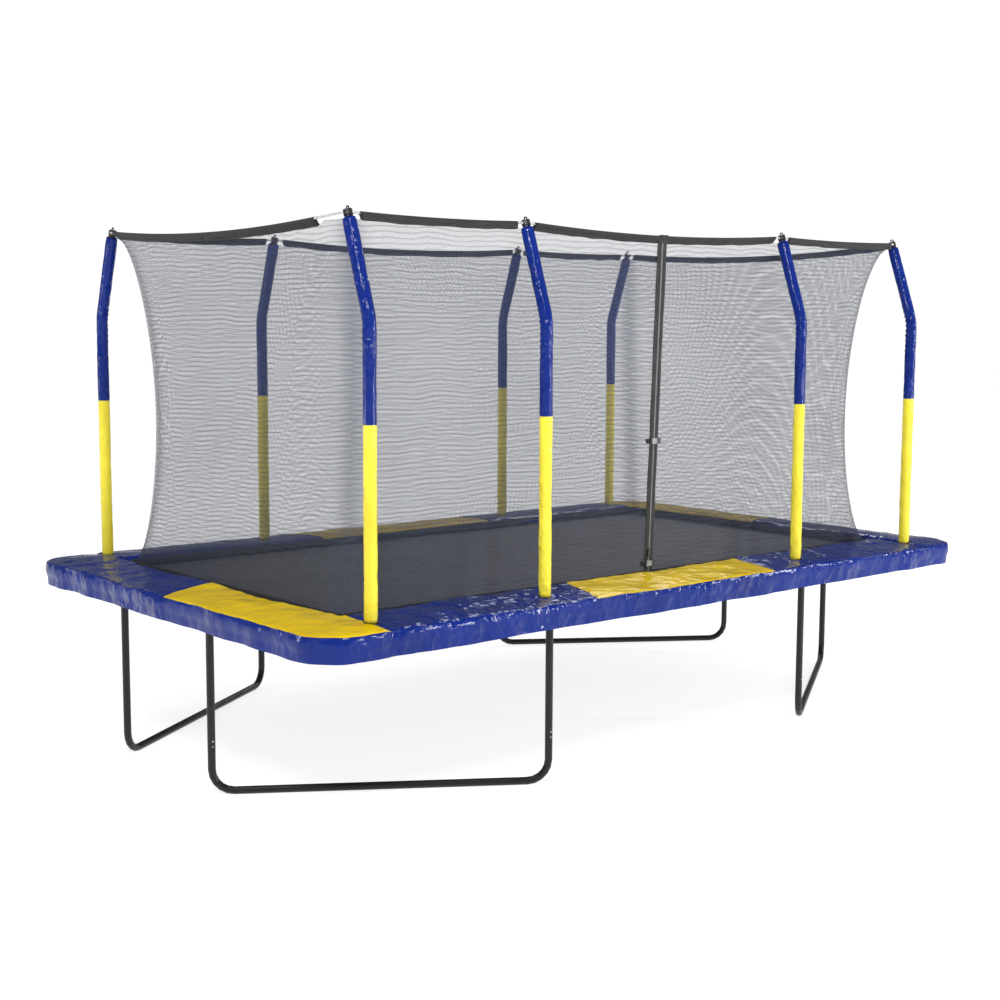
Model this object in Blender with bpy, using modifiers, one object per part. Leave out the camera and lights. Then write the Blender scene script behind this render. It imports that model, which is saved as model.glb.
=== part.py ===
"""Rectangular garden trampoline with a net enclosure, 4.7 m by 2.9 m by 2.75 m.

X runs along the long sides, Y across, +Z up. The origin is on the ground under the middle of the
bed. The zip door is in the middle of the front side, which faces -Y.
"""

from math import atan2, cos, hypot, pi, sin

import bmesh
import bpy
from mathutils import Matrix, Vector

# Frame: steel tube rails on four U legs that stand across the corners.
TUBE_R = 0.019
RAIL_X = 2.307
RAIL_Y = 1.318
RAIL_Z = 0.866
RAIL_CORNER_R = 0.10
RAIL_SPLIT_X = 1.45
LEG_X = 0.956  # upright under a long rail
LEG_Y = 0.430  # upright under a short rail
LEG_BEND_R = 0.105
LEG_JOINT_Z = 0.215
SPIGOT_R = 0.0165
SPIGOT_LENGTH = 0.060
WALL = 0.0020
GAP = 0.0003

# Poles: straight to the bend, then leaning in over the bed.
POLE_XS = (-1.981, -0.950, 0.950, 1.981)
POLE_Y = 1.274
POLE_FOOT_Z = 0.810
POLE_BEND_Z = 2.249
POLE_TOP_Z = 2.697
POLE_LEAN = 0.150
POLE_BEND_R = 0.25
SOCKET_R = 0.0225
SOCKET_WELD = (0.024, 0.030, 0.022)
SLEEVE_R = 0.0315
SLEEVE_TOP_Z = 2.683
SLEEVE_SIDES = 10
SLEEVE_CLEARANCE = 0.0008
CAP_R = 0.0215
CAP_HEIGHT = 0.026
HOOK_R = 0.010
HOOK_WIRE_R = 0.0035

# Ring that the net hangs from.
ROD_R = 0.006
ROD_Z = 2.711
ROD_SAG = 0.0095  # metres of sag for each square metre of span
CORNER_RUN = 0.030

# Bed: mat, springs and pads.
MAT_X = 2.130
MAT_Y = 1.140
MAT_CORNER_R = 0.06
MAT_TOP_Z = 0.8745
MAT_THICKNESS = 0.003
SPRING_PITCH = 0.132
SPRING_R = 0.009
SPRINGS_HALF_LONG = 16
SPRINGS_HALF_SHORT = 8
V_RING_R = 0.0030
PAD_X = 2.3485
PAD_Y = 1.433
PAD_INNER_X = 1.989
PAD_INNER_Y = 1.048
PAD_CORNER_R = 0.20
PAD_BOTTOM_Z = 0.8895
PAD_TOP_Z = 0.920
SKIRT_BOTTOM_Z = 0.789
SKIRT_THICKNESS = 0.006
POLE_HOLE_R = 0.036

# Net: a rectangle at the ring and at the bed, with widely rounded corners between.
NET_TOP_X = 1.975
NET_TOP_Y = 1.105
NET_BOTTOM_X = 1.975
NET_BOTTOM_Y = 1.035
NET_BOTTOM_Z = 0.879
NET_CORNER_R = 0.05
NET_WAIST_R = 0.50
NET_THICKNESS = 0.003
HEM_THICKNESS = 0.010
HEM_HEIGHT = 0.036
NET_ROWS = 8
ARC_STEPS = 3
STRAIGHT_STEPS = 8
SEAM_GAP = 0.0015

# Door: zip tape, slider and two side-release buckles.
SLIT_WIDTH = 0.010
ZIP_WIDTH = 0.065
ZIP_THICKNESS = 0.003
ZIP_BOTTOM_Z = 0.893
ZIP_TOP_Z = 2.655
SLIDER_SIZE = (0.022, 0.007, 0.042)
SLIDER_Z = 1.020
BUCKLE_ZS = {"lower": 0.965, "upper": 1.620}
BUCKLE_DEPTH = 0.010
BUCKLE_HEIGHT = 0.030
BUCKLE_STAND_OFF = 0.0140
SOCKET_LENGTH = 0.034
PLUG_LENGTH = 0.022
TONGUE_LENGTH = 0.022

BLACK_STEEL = ("powder_coated_steel", (0.012, 0.012, 0.013), 0.38, 0.6)
GREY_STEEL = ("zinc_steel", (0.55, 0.56, 0.58), 0.30, 1.0)
WHITE_ROD = ("fibreglass_rod", (0.62, 0.62, 0.60), 0.45, 0.0)
BLACK_PLASTIC = ("black_plastic", (0.015, 0.015, 0.016), 0.45, 0.0)
GREY_PLASTIC = ("grey_plastic", (0.35, 0.35, 0.36), 0.45, 0.0)
BLUE_VINYL = ("blue_vinyl", (0.025, 0.045, 0.42), 0.30, 0.0)
MAT_CLOTH = ("woven_mat", (0.030, 0.031, 0.035), 0.70, 0.0)
NET_CLOTH = ("net_mesh", (0.020, 0.020, 0.023), 0.80, 0.0)
BLACK_WEBBING = ("black_webbing", (0.010, 0.010, 0.012), 0.75, 0.0)

SIDES = (-1, 1)


def clear_scene():
    for old in list(bpy.data.objects):
        bpy.data.objects.remove(old, do_unlink=True)


def new_collection(name):
    collection = bpy.data.collections.new(name)
    bpy.context.scene.collection.children.link(collection)
    return collection


def material(spec):
    name, colour, roughness, metallic = spec
    found = bpy.data.materials.get(name)
    if found:
        return found
    made = bpy.data.materials.new(name)
    made.use_nodes = True
    shader = made.node_tree.nodes["Principled BSDF"]
    shader.inputs["Base Color"].default_value = (*colour, 1.0)
    shader.inputs["Roughness"].default_value = roughness
    shader.inputs["Metallic"].default_value = metallic
    return made


def add_object(name, data, collection, spec=None, origin=(0, 0, 0)):
    made = bpy.data.objects.new(name, data)
    made.location = origin
    collection.objects.link(made)
    if spec:
        data.materials.append(material(spec))
    return made


def as_cutter(helper):
    helper.hide_render = True
    helper.display_type = "WIRE"
    return helper


def shade_round(made):
    made.data.shade_smooth()
    made.data.set_sharp_from_angle(angle=0.7)


def tube_curve(name, points, radius, collection, spec=None, resolution=4, cyclic=False, caps=True, scales=None):
    """A round tube along a polyline; scales shrink it at single points, as at a spigot."""
    curve = bpy.data.curves.new(name, "CURVE")
    curve.dimensions = "3D"
    curve.bevel_depth = radius
    curve.bevel_resolution = resolution
    curve.use_fill_caps = caps
    curve.twist_mode = "MINIMUM"
    spline = curve.splines.new("POLY")
    spline.points.add(len(points) - 1)
    spline.use_cyclic_u = cyclic
    for index, point in enumerate(points):
        spline.points[index].co = (*point, 1.0)
        spline.points[index].radius = scales[index] if scales else 1.0
    return add_object(name, curve, collection, spec)


def to_mesh(curve_object):
    """The curve object as a mesh object of the same name, with its caps welded on."""
    name = curve_object.name
    collection = curve_object.users_collection[0]
    graph = bpy.context.evaluated_depsgraph_get()
    mesh = bpy.data.meshes.new_from_object(curve_object.evaluated_get(graph))
    edit = bmesh.new()
    edit.from_mesh(mesh)
    bmesh.ops.remove_doubles(edit, verts=edit.verts, dist=0.00001)
    edit.to_mesh(mesh)
    edit.free()
    matrix = curve_object.matrix_world.copy()
    bpy.data.objects.remove(curve_object, do_unlink=True)
    made = bpy.data.objects.new(name, mesh)
    made.matrix_world = matrix
    collection.objects.link(made)
    return made


def boolean(target, tool, operation):
    step = target.modifiers.new(operation.lower(), "BOOLEAN")
    step.operation = operation
    step.object = tool
    step.solver = "EXACT"
    step.use_self = operation == "UNION"


def filleted(corners, radius, steps):
    """The polyline through the corners, with each inner corner replaced by an arc."""
    points = [Vector(corners[0])]
    for before, corner, after in zip(corners, corners[1:], corners[2:]):
        corner = Vector(corner)
        back = (Vector(before) - corner).normalized()
        ahead = (Vector(after) - corner).normalized()
        half = back.angle(ahead) / 2
        centre = corner + (back + ahead).normalized() * radius / sin(half)
        start = corner + back * radius / (sin(half) / cos(half))
        spin_axis = ahead.cross(back)
        sweep = pi - 2 * half
        for step in range(steps + 1):
            turn = Matrix.Rotation(sweep * step / steps, 3, spin_axis)
            points.append(centre + turn @ (start - centre))
    points.append(Vector(corners[-1]))
    return points


def cylinder(name, radius, depth, centre, collection, spec=None, sides=12, turn=None):
    mesh = bpy.data.meshes.new(name)
    edit = bmesh.new()
    bmesh.ops.create_cone(edit, cap_ends=True, segments=sides, radius1=radius, radius2=radius, depth=depth)
    if turn:
        bmesh.ops.transform(edit, matrix=turn, verts=edit.verts)
    edit.to_mesh(mesh)
    edit.free()
    return add_object(name, mesh, collection, spec, centre)


def box(name, size, centre, collection, spec=None, turn=None):
    mesh = bpy.data.meshes.new(name)
    edit = bmesh.new()
    bmesh.ops.create_cube(edit, size=1.0, matrix=Matrix.Diagonal((*size, 1.0)))
    if turn:
        bmesh.ops.transform(edit, matrix=turn, verts=edit.verts)
    edit.to_mesh(mesh)
    edit.free()
    return add_object(name, mesh, collection, spec, centre)


def joined(name, objects, collection):
    """One helper object that holds the meshes of several, which it removes."""
    edit = bmesh.new()
    for part in objects:
        mesh = part.data.copy()
        mesh.transform(Matrix.Translation(part.location))
        edit.from_mesh(mesh)
        bpy.data.meshes.remove(mesh)
        bpy.data.objects.remove(part, do_unlink=True)
    mesh = bpy.data.meshes.new(name)
    edit.to_mesh(mesh)
    edit.free()
    return as_cutter(add_object(name, mesh, collection))


def side_name(sx, sy):
    return f"{'front' if sy < 0 else 'back'}_{'left' if sx < 0 else 'right'}"


def pole_names():
    """Each pole's name, its place along X and the side that it stands on."""
    places = ("left", "mid_left", "mid_right", "right")
    for sy in SIDES:
        for place, x in zip(places, POLE_XS):
            yield f"{'front' if sy < 0 else 'back'}_{place}", x, sy


def rail_fittings(name, leg_points, pole_points, helpers):
    """Welded on a rail: spigots for the legs below it, and cups for the poles beside it."""
    studs = []
    for x, y in leg_points:
        top = RAIL_Z - 0.006
        bottom = RAIL_Z - TUBE_R - SPIGOT_LENGTH
        studs.append(cylinder(name + "_stud", SPIGOT_R, top - bottom, (x, y, (top + bottom) / 2), helpers))
    cup_top = PAD_BOTTOM_Z - 0.003
    cup_bottom = POLE_FOOT_Z - 0.008
    for x, y in pole_points:
        cup_z = (cup_top + cup_bottom) / 2
        studs.append(cylinder(name + "_cup", SOCKET_R, cup_top - cup_bottom, (x, y, cup_z), helpers, sides=16))
        weld_y = (y + RAIL_Y * (1 if y > 0 else -1)) / 2
        studs.append(box(name + "_weld", SOCKET_WELD, (x, weld_y, RAIL_Z), helpers))
    bores = []
    for x, y in pole_points:
        bores.append(cylinder(name + "_bore", TUBE_R + 0.0004, 0.2, (x, y, POLE_FOOT_Z + 0.1 - GAP), helpers))
    return joined(name + "_welds", studs, helpers), joined(name + "_bores", bores, helpers)


def make_rails(parts, helpers):
    for sy in SIDES:
        side = "front" if sy < 0 else "back"
        y = sy * RAIL_Y
        name = f"frame_rail_{side}"
        end_x = RAIL_SPLIT_X - GAP
        rail = to_mesh(tube_curve(name, [(-end_x, y, RAIL_Z), (end_x, y, RAIL_Z)], TUBE_R, parts, BLACK_STEEL))
        legs = [(-LEG_X, y), (LEG_X, y)]
        poles = [(x, sy * POLE_Y) for x in POLE_XS[1:3]]
        fit_rail(rail, legs, poles, helpers)
        for sx in SIDES:
            name = f"frame_corner_{side_name(sx, sy)}"
            x = sx * RAIL_X
            corners = [(sx * RAIL_SPLIT_X, y, RAIL_Z), (x, y, RAIL_Z), (x, sy * GAP, RAIL_Z)]
            path = filleted(corners, RAIL_CORNER_R, 5)
            corner = to_mesh(tube_curve(name, path, TUBE_R, parts, BLACK_STEEL))
            pole_x = POLE_XS[3] * sx
            fit_rail(corner, [(x, sy * LEG_Y)], [(pole_x, sy * POLE_Y)], helpers)


def fit_rail(rail, legs, poles, helpers):
    welds, bores = rail_fittings(rail.name, legs, poles, helpers)
    boolean(rail, welds, "UNION")
    boolean(rail, bores, "DIFFERENCE")
    shade_round(rail)


def make_legs(parts):
    """Four U legs: a bent foot tube and two uprights that slide over its reduced ends."""
    upright_top = RAIL_Z - TUBE_R - GAP
    for sy in SIDES:
        for sx in SIDES:
            corner = side_name(sx, sy)
            long_foot = Vector((sx * LEG_X, sy * RAIL_Y, 0))
            short_foot = Vector((sx * RAIL_X, sy * LEG_Y, 0))
            up = Vector((0, 0, 1))
            spigot_top = LEG_JOINT_Z + SPIGOT_LENGTH - 0.002
            corners = [
                long_foot + up * LEG_JOINT_Z,
                long_foot + up * TUBE_R,
                short_foot + up * TUBE_R,
                short_foot + up * LEG_JOINT_Z,
            ]
            path = filleted(corners, LEG_BEND_R, 5)
            step = up * 0.0005
            path = [long_foot + up * spigot_top, path[0] + step, *path, path[-1] + step, short_foot + up * spigot_top]
            small = SPIGOT_R / TUBE_R
            scales = [small, small, *([1.0] * (len(path) - 4)), small, small]
            tube_curve(f"leg_base_{corner}", path, TUBE_R, parts, BLACK_STEEL, scales=scales)
            for place, foot in (("long", long_foot), ("short", short_foot)):
                ends = [foot + up * (LEG_JOINT_Z + 2 * GAP + 0.0005), foot + up * upright_top]
                name = f"leg_upright_{corner}_{place}"
                upright = to_mesh(tube_curve(name, ends, TUBE_R, parts, BLACK_STEEL, caps=False))
                thicken_inwards(upright, WALL)
                shade_round(upright)


def thicken_inwards(shell, thickness):
    step = shell.modifiers.new("wall", "SOLIDIFY")
    step.thickness = thickness
    step.offset = -1.0
    step.use_even_offset = True


def pole_path(x, sy, foot_z, top_z):
    """The pole's centre line: up, then bent in over the bed by a wide arc."""
    lean = POLE_LEAN / (POLE_TOP_Z - POLE_BEND_Z)
    top_y = sy * (POLE_Y - lean * (top_z - POLE_BEND_Z))
    corners = [(x, sy * POLE_Y, foot_z), (x, sy * POLE_Y, POLE_BEND_Z), (x, top_y, top_z)]
    return filleted(corners, POLE_BEND_R, 4)


def pole_turn(sy):
    """The turn that stands a vertical piece along the leaning top of a pole."""
    return Matrix.Rotation(sy * atan2(POLE_LEAN, POLE_TOP_Z - POLE_BEND_Z), 4, "X")


def make_poles(parts, helpers):
    for name, x, sy in pole_names():
        tube_curve(f"pole_{name}", pole_path(x, sy, POLE_FOOT_Z, POLE_TOP_Z), TUBE_R, parts, BLACK_STEEL)
        path = pole_path(x, sy, PAD_TOP_Z + 0.001, SLEEVE_TOP_Z)
        sleeve = tube_curve(f"pole_sleeve_{name}", path, SLEEVE_R, parts, BLUE_VINYL, resolution=3, caps=False)
        sleeve = to_mesh(sleeve)
        thicken_inwards(sleeve, SLEEVE_R * cos(pi / SLEEVE_SIDES) - TUBE_R - SLEEVE_CLEARANCE)
        shade_round(sleeve)
        make_cap(name, x, sy, parts, helpers)


def rod_direction(x, sy):
    """Which way the ring's rod runs through a pole's cap: along the side, or across a corner."""
    if abs(x) < POLE_XS[3]:
        return Vector((1, 0, 0))
    return Vector((1, -sy * (1 if x > 0 else -1), 0)).normalized()


def cap_point(x, sy):
    """Where the rod's centre line crosses the pole's cap."""
    lean = POLE_LEAN / (POLE_TOP_Z - POLE_BEND_Z)
    return Vector((x, sy * (POLE_Y - lean * (ROD_Z - POLE_BEND_Z)), ROD_Z))


def make_cap(name, x, sy, parts, helpers):
    """A plastic cap on the pole's end, bored for the ring's rod, with a hooked finger on top."""
    turn = pole_turn(sy)
    up = turn.to_3x3() @ Vector((0, 0, 1))
    pole_end = Vector(pole_path(x, sy, POLE_FOOT_Z, POLE_TOP_Z)[-1])
    centre = pole_end + up * (GAP * 8 + CAP_HEIGHT / 2)
    cap = cylinder(f"pole_cap_{name}", CAP_R, CAP_HEIGHT, centre, parts, BLACK_PLASTIC, turn=turn)
    cap_top = pole_end + up * CAP_HEIGHT
    arc = []
    for step in range(7):
        angle = -0.5 * pi + 1.45 * pi * step / 6
        out = -cos(angle) * HOOK_R
        rise = HOOK_R + sin(angle) * HOOK_R - 0.002
        arc.append(cap_top + Vector((0, -sy * out, rise)))
    finger = to_mesh(tube_curve(f"hook_{name}", arc, HOOK_WIRE_R, helpers, resolution=1))
    along = rod_direction(x, sy)
    lie = along.to_track_quat("Z", "Y").to_matrix().to_4x4()
    bore = cylinder(f"rod_bore_{name}", ROD_R + 0.0006, 0.12, cap_point(x, sy), helpers, turn=lie)
    boolean(cap, as_cutter(finger), "UNION")
    boolean(cap, as_cutter(bore), "DIFFERENCE")
    shade_round(cap)


def sagging(start, end, steps):
    """Points between two supports, with the sag that the span has."""
    span = (end - start).length
    points = []
    for step in range(steps + 1):
        share = step / steps
        drop = ROD_SAG * span * span * 4 * share * (1 - share)
        points.append(start.lerp(end, share) - Vector((0, 0, drop)))
    return points


def ring_supports():
    """The caps in order round the ring, each with the points where the rod is straight in it."""
    order = [(x, -1) for x in POLE_XS] + [(x, 1) for x in reversed(POLE_XS)]
    supports = []
    for x, sy in order:
        along = rod_direction(x, sy)
        if sy > 0 and abs(x) < POLE_XS[3] or (x, sy) in ((POLE_XS[3], 1), (POLE_XS[0], 1)):
            along = -along
        if (x, sy) == (POLE_XS[3], -1) or (x, sy) == (POLE_XS[0], -1):
            along = along if along.x > 0 else -along
        centre = cap_point(x, sy)
        supports.append((centre - along * CORNER_RUN, centre + along * CORNER_RUN))
    return supports


def make_ring(parts):
    points = []
    supports = ring_supports()
    for (before, start), (end, after) in zip(supports, supports[1:] + supports[:1]):
        steps = max(4, round((end - start).length / 0.3))
        points.extend(sagging(start, end, steps))
    tube_curve("ring_rod", points, ROD_R, parts, WHITE_ROD, resolution=1, cyclic=True)


def rounded_outline(half_x, half_y, radius, steps):
    """A rounded rectangle's points, anticlockwise."""
    points = []
    for quarter, (sx, sy) in enumerate(((1, 1), (-1, 1), (-1, -1), (1, -1))):
        centre = (sx * (half_x - radius), sy * (half_y - radius))
        for step in range(steps + 1):
            angle = pi / 2 * (quarter + step / steps)
            points.append((centre[0] + radius * cos(angle), centre[1] + radius * sin(angle)))
    return points


def plate(name, loops, bottom, top, collection, spec=None):
    """A flat piece with the outline of a 2D curve."""
    curve = bpy.data.curves.new(name, "CURVE")
    curve.dimensions = "2D"
    curve.fill_mode = "BOTH"
    curve.extrude = (top - bottom) / 2
    for loop in loops:
        spline = curve.splines.new("POLY")
        spline.points.add(len(loop) - 1)
        spline.use_cyclic_u = True
        for index, point in enumerate(loop):
            spline.points[index].co = (*point, 0.0, 1.0)
    return add_object(name, curve, collection, spec, (0, 0, (bottom + top) / 2))


def make_mat(parts):
    outline = rounded_outline(MAT_X, MAT_Y, MAT_CORNER_R, 3)
    plate("mat", [outline], MAT_TOP_Z - MAT_THICKNESS, MAT_TOP_Z, parts, MAT_CLOTH)


def spring_places():
    """The outer end, inner end and direction of each spring's axis in plan."""
    inner_x = MAT_X + V_RING_R
    inner_y = MAT_Y + V_RING_R
    outer_x = RAIL_X - TUBE_R - 0.001
    outer_y = RAIL_Y - TUBE_R - 0.001
    for sy in SIDES:
        for index in range(-SPRINGS_HALF_LONG, SPRINGS_HALF_LONG):
            x = (index + 0.5) * SPRING_PITCH
            yield (x, sy * inner_y), (x, sy * outer_y)
    for sx in SIDES:
        for index in range(-SPRINGS_HALF_SHORT, SPRINGS_HALF_SHORT):
            y = (index + 0.5) * SPRING_PITCH
            yield (sx * inner_x, y), (sx * outer_x, y)


def make_springs(parts, helpers):
    """The steel springs, linked into one body by the row of rings sewn to the mat's edge."""
    z = MAT_TOP_Z - MAT_THICKNESS / 2
    offset = GAP + V_RING_R
    outline = rounded_outline(MAT_X + offset, MAT_Y + offset, MAT_CORNER_R, 3)
    edge = tube_curve("springs", [(x, y, z) for x, y in outline], V_RING_R, parts, GREY_STEEL, 0, cyclic=True)
    edge = to_mesh(edge)
    coils = []
    for (x0, y0), (x1, y1) in spring_places():
        along = Vector((x1 - x0, y1 - y0, 0))
        lie = along.to_track_quat("Z", "Y").to_matrix().to_4x4()
        centre = ((x0 + x1) / 2, (y0 + y1) / 2, z)
        coils.append(cylinder("coil", SPRING_R, along.length, centre, helpers, sides=4, turn=lie))
    boolean(edge, joined("coils", coils, helpers), "UNION")


def pole_hole_cutter(helpers):
    holes = [
        cylinder("hole", POLE_HOLE_R, 0.5, (x, sy * POLE_Y, PAD_TOP_Z), helpers, sides=16)
        for _, x, sy in pole_names()
    ]
    return joined("pole_holes", holes, helpers)


def corner_arc(sx, sy, radius, outward, steps=5):
    """The pad's outer corner from the long side round to the short side, set in by outward."""
    centre_x = PAD_X - radius
    centre_y = PAD_Y - radius
    reach = radius - outward
    points = []
    for step in range(steps + 1):
        angle = pi / 2 * (1 - step / steps)
        points.append((sx * (centre_x + reach * cos(angle)), sy * (centre_y + reach * sin(angle))))
    return points


def long_pad_outline(sy, inner_y, outer_y):
    end_x = POLE_XS[3] - GAP
    return [(-end_x, sy * inner_y), (end_x, sy * inner_y), (end_x, sy * outer_y), (-end_x, sy * outer_y)]


def short_pad_outline(sx, inner_x, inner_y, outward):
    """A strip down a short side that wraps both corners as far as the corner poles."""
    end_x = sx * (POLE_XS[3] + GAP)
    front_arc = corner_arc(sx, -1, PAD_CORNER_R, outward)
    back_arc = corner_arc(sx, 1, PAD_CORNER_R, outward)
    outer_y = PAD_Y - outward
    inner = [(end_x, -inner_y), (sx * inner_x, -inner_y), (sx * inner_x, inner_y), (end_x, inner_y)]
    return [(end_x, -outer_y), *front_arc, *reversed(back_arc), (end_x, outer_y), *reversed(inner)]


def skirt_outline(sx):
    end_x = sx * (POLE_XS[3] + GAP)
    outer = corner_arc(sx, -1, PAD_CORNER_R, 0) + list(reversed(corner_arc(sx, 1, PAD_CORNER_R, 0)))
    inner = [
        *corner_arc(sx, -1, PAD_CORNER_R, SKIRT_THICKNESS),
        *reversed(corner_arc(sx, 1, PAD_CORNER_R, SKIRT_THICKNESS)),
    ]
    inner_y = PAD_Y - SKIRT_THICKNESS
    ends = [(end_x, -PAD_Y), (end_x, PAD_Y), (end_x, inner_y), (end_x, -inner_y)]
    return [ends[0], *outer, ends[1], ends[2], *reversed(inner), ends[3]]


def make_pad(name, top_loop, skirt_loop, holes, parts, helpers):
    pad = to_mesh(plate(name, [top_loop], PAD_BOTTOM_Z, PAD_TOP_Z, parts, BLUE_VINYL))
    skirt = plate(name + "_skirt", [skirt_loop], SKIRT_BOTTOM_Z, PAD_TOP_Z - 0.004, helpers)
    boolean(pad, as_cutter(to_mesh(skirt)), "UNION")
    boolean(pad, holes, "DIFFERENCE")


def make_pads(parts, helpers):
    holes = pole_hole_cutter(helpers)
    for sy in SIDES:
        name = f"pad_{'front' if sy < 0 else 'back'}"
        top = long_pad_outline(sy, PAD_INNER_Y, PAD_Y)
        skirt = long_pad_outline(sy, PAD_Y - SKIRT_THICKNESS, PAD_Y)
        make_pad(name, top, skirt, holes, parts, helpers)
    for sx in SIDES:
        name = f"pad_{'left' if sx < 0 else 'right'}"
        top = short_pad_outline(sx, PAD_INNER_X, PAD_INNER_Y, 0)
        make_pad(name, top, skirt_outline(sx), holes, parts, helpers)


def net_section(height):
    """Half sizes and corner radius of the net at a share of its height, 0 at the bed."""
    half_x = NET_BOTTOM_X + (NET_TOP_X - NET_BOTTOM_X) * height
    half_y = NET_BOTTOM_Y + (NET_TOP_Y - NET_BOTTOM_Y) * height
    swell = (4 * height * (1 - height)) ** 0.6 if 0 < height < 1 else 0.0
    return half_x, half_y, NET_CORNER_R + (NET_WAIST_R - NET_CORNER_R) * swell


def net_row(side, height):
    """The net's points across one side at one height, from corner seam to corner seam."""
    half_x, half_y, radius = net_section(height)
    across, out = (half_x, half_y) if side in ("front", "back") else (half_y, half_x)
    flat = across - radius
    row = []
    for step in range(ARC_STEPS):
        angle = pi / 4 * (1 - step / ARC_STEPS)
        row.append((-flat - radius * sin(angle), out - radius + radius * cos(angle)))
    seam, beside = Vector(row[0]), Vector(row[1])
    row[0] = seam + (beside - seam).normalized() * SEAM_GAP
    for step in range(STRAIGHT_STEPS + 1):
        row.append((-flat + 2 * flat * step / STRAIGHT_STEPS, out))
    row.extend((-u, v) for u, v in reversed(row[:ARC_STEPS]))
    turn = {"front": 0, "right": 1, "back": 2, "left": 3}[side] * pi / 2
    return [(u * cos(turn) + v * sin(turn), u * sin(turn) - v * cos(turn)) for u, v in row]


def ring_height(x, y):
    """How high the rod hangs over a point near the ring, from the sag of the span it is in."""
    if abs(y) >= NET_TOP_Y - 0.2 and abs(x) < POLE_XS[3]:
        ends = [end for end in zip(POLE_XS, POLE_XS[1:]) if end[0] <= x <= end[1]]
        start, end = ends[0]
        share, span = (x - start) / (end - start), end - start
    else:
        span = 2 * cap_point(0, 1).y
        share = min(1.0, max(0.0, y / span + 0.5))
    return ROD_Z - ROD_SAG * span * span * 4 * share * (1 - share)


def make_net_side(side, parts):
    """One side of the net: a loft from the bed's rectangle to the ring's, thicker at its hem."""
    mesh = bpy.data.meshes.new(f"net_{side}")
    edit = bmesh.new()
    rows = []
    top_row = net_row(side, 1.0)
    tops = [ring_height(x, y) - ROD_R - HEM_THICKNESS / 4 for x, y in top_row]
    heights = [row / NET_ROWS for row in range(NET_ROWS)]
    hem_share = 1 - HEM_HEIGHT / (ROD_Z - NET_BOTTOM_Z)
    for height in [*heights, hem_share - 0.004, hem_share, 1.0]:
        row = net_row(side, min(height, 1.0))
        verts = [
            edit.verts.new((x, y, NET_BOTTOM_Z + (top - NET_BOTTOM_Z) * height))
            for (x, y), top in zip(row, tops)
        ]
        rows.append(verts)
    for lower, upper in zip(rows, rows[1:]):
        for index in range(len(lower) - 1):
            edit.faces.new((lower[index], lower[index + 1], upper[index + 1], upper[index]))
    bmesh.ops.recalc_face_normals(edit, faces=edit.faces)
    edit.verts.index_update()
    hem = [vert.index for row in rows[-2:] for vert in row]
    edit.to_mesh(mesh)
    edit.free()
    net = add_object(f"net_{side}", mesh, parts, NET_CLOTH)
    group = net.vertex_groups.new(name="hem")
    group.add(hem, 1.0, "REPLACE")
    shell = net.modifiers.new("thickness", "SOLIDIFY")
    shell.thickness = HEM_THICKNESS
    shell.offset = 0.0
    shell.vertex_group = "hem"
    shell.thickness_vertex_group = NET_THICKNESS / HEM_THICKNESS
    return net


def net_clearances(helpers):
    """Where the leaning pole tops pass through the hem's line."""
    posts = []
    for name, x, sy in pole_names():
        turn = pole_turn(sy)
        centre = cap_point(x, sy) + turn.to_3x3() @ Vector((0, 0, 0.01))
        posts.append(cylinder("post", SLEEVE_R + 0.008, 0.16, centre, helpers, turn=turn))
    return joined("pole_clearances", posts, helpers)


def make_net(parts, helpers):
    posts = net_clearances(helpers)
    for side in ("front", "right", "back", "left"):
        net = make_net_side(side, parts)
        boolean(net, posts, "DIFFERENCE")
        if side == "front":
            slit_centre = (0, -door_y(1.77), (ZIP_BOTTOM_Z + ZIP_TOP_Z) / 2)
            slit = box("door_slit", (SLIT_WIDTH, 0.3, ZIP_TOP_Z - ZIP_BOTTOM_Z - 0.02), slit_centre, helpers)
            boolean(net, as_cutter(slit), "DIFFERENCE")


def door_y(z):
    """How far out the front net's middle lies at a height."""
    top = ring_height(0, -NET_TOP_Y) - ROD_R - HEM_THICKNESS / 4
    height = (z - NET_BOTTOM_Z) / (top - NET_BOTTOM_Z)
    return net_section(height)[1]


def door_axis():
    """The way the zip runs, upwards."""
    rise = ZIP_TOP_Z - ZIP_BOTTOM_Z
    return Vector((0, -(door_y(ZIP_TOP_Z) - door_y(ZIP_BOTTOM_Z)), rise)).normalized()


def door_turn():
    """The turn that lies a vertical piece along the slightly sloping door."""
    axis = door_axis()
    return Matrix.Rotation(atan2(-axis.y, axis.z), 4, "X")


def door_point(z, x, outward):
    """A point on the door at height z, this far out from the net's middle surface."""
    return Vector((x, -door_y(z) - outward, z))


def make_door(parts, helpers):
    turn = door_turn()
    tape_y = HEM_THICKNESS / 2 + ZIP_THICKNESS / 2 + GAP
    length = hypot(ZIP_TOP_Z - ZIP_BOTTOM_Z, door_y(ZIP_TOP_Z) - door_y(ZIP_BOTTOM_Z))
    middle = (ZIP_BOTTOM_Z + ZIP_TOP_Z) / 2
    size = (ZIP_WIDTH, ZIP_THICKNESS, length)
    box("zip_tape", size, door_point(middle, 0, tape_y), parts, BLACK_WEBBING, turn)
    slider_y = tape_y + ZIP_THICKNESS / 2 + SLIDER_SIZE[1] / 2 + GAP
    slider = box("zip_slider", SLIDER_SIZE, door_point(SLIDER_Z, 0, slider_y), parts, GREY_STEEL, turn)
    bevel = slider.modifiers.new("edges", "BEVEL")
    bevel.width = 0.0015
    bevel.segments = 1
    for place, z in BUCKLE_ZS.items():
        make_buckle(place, z, tape_y + ZIP_THICKNESS / 2 + BUCKLE_STAND_OFF, turn, parts, helpers)


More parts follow.
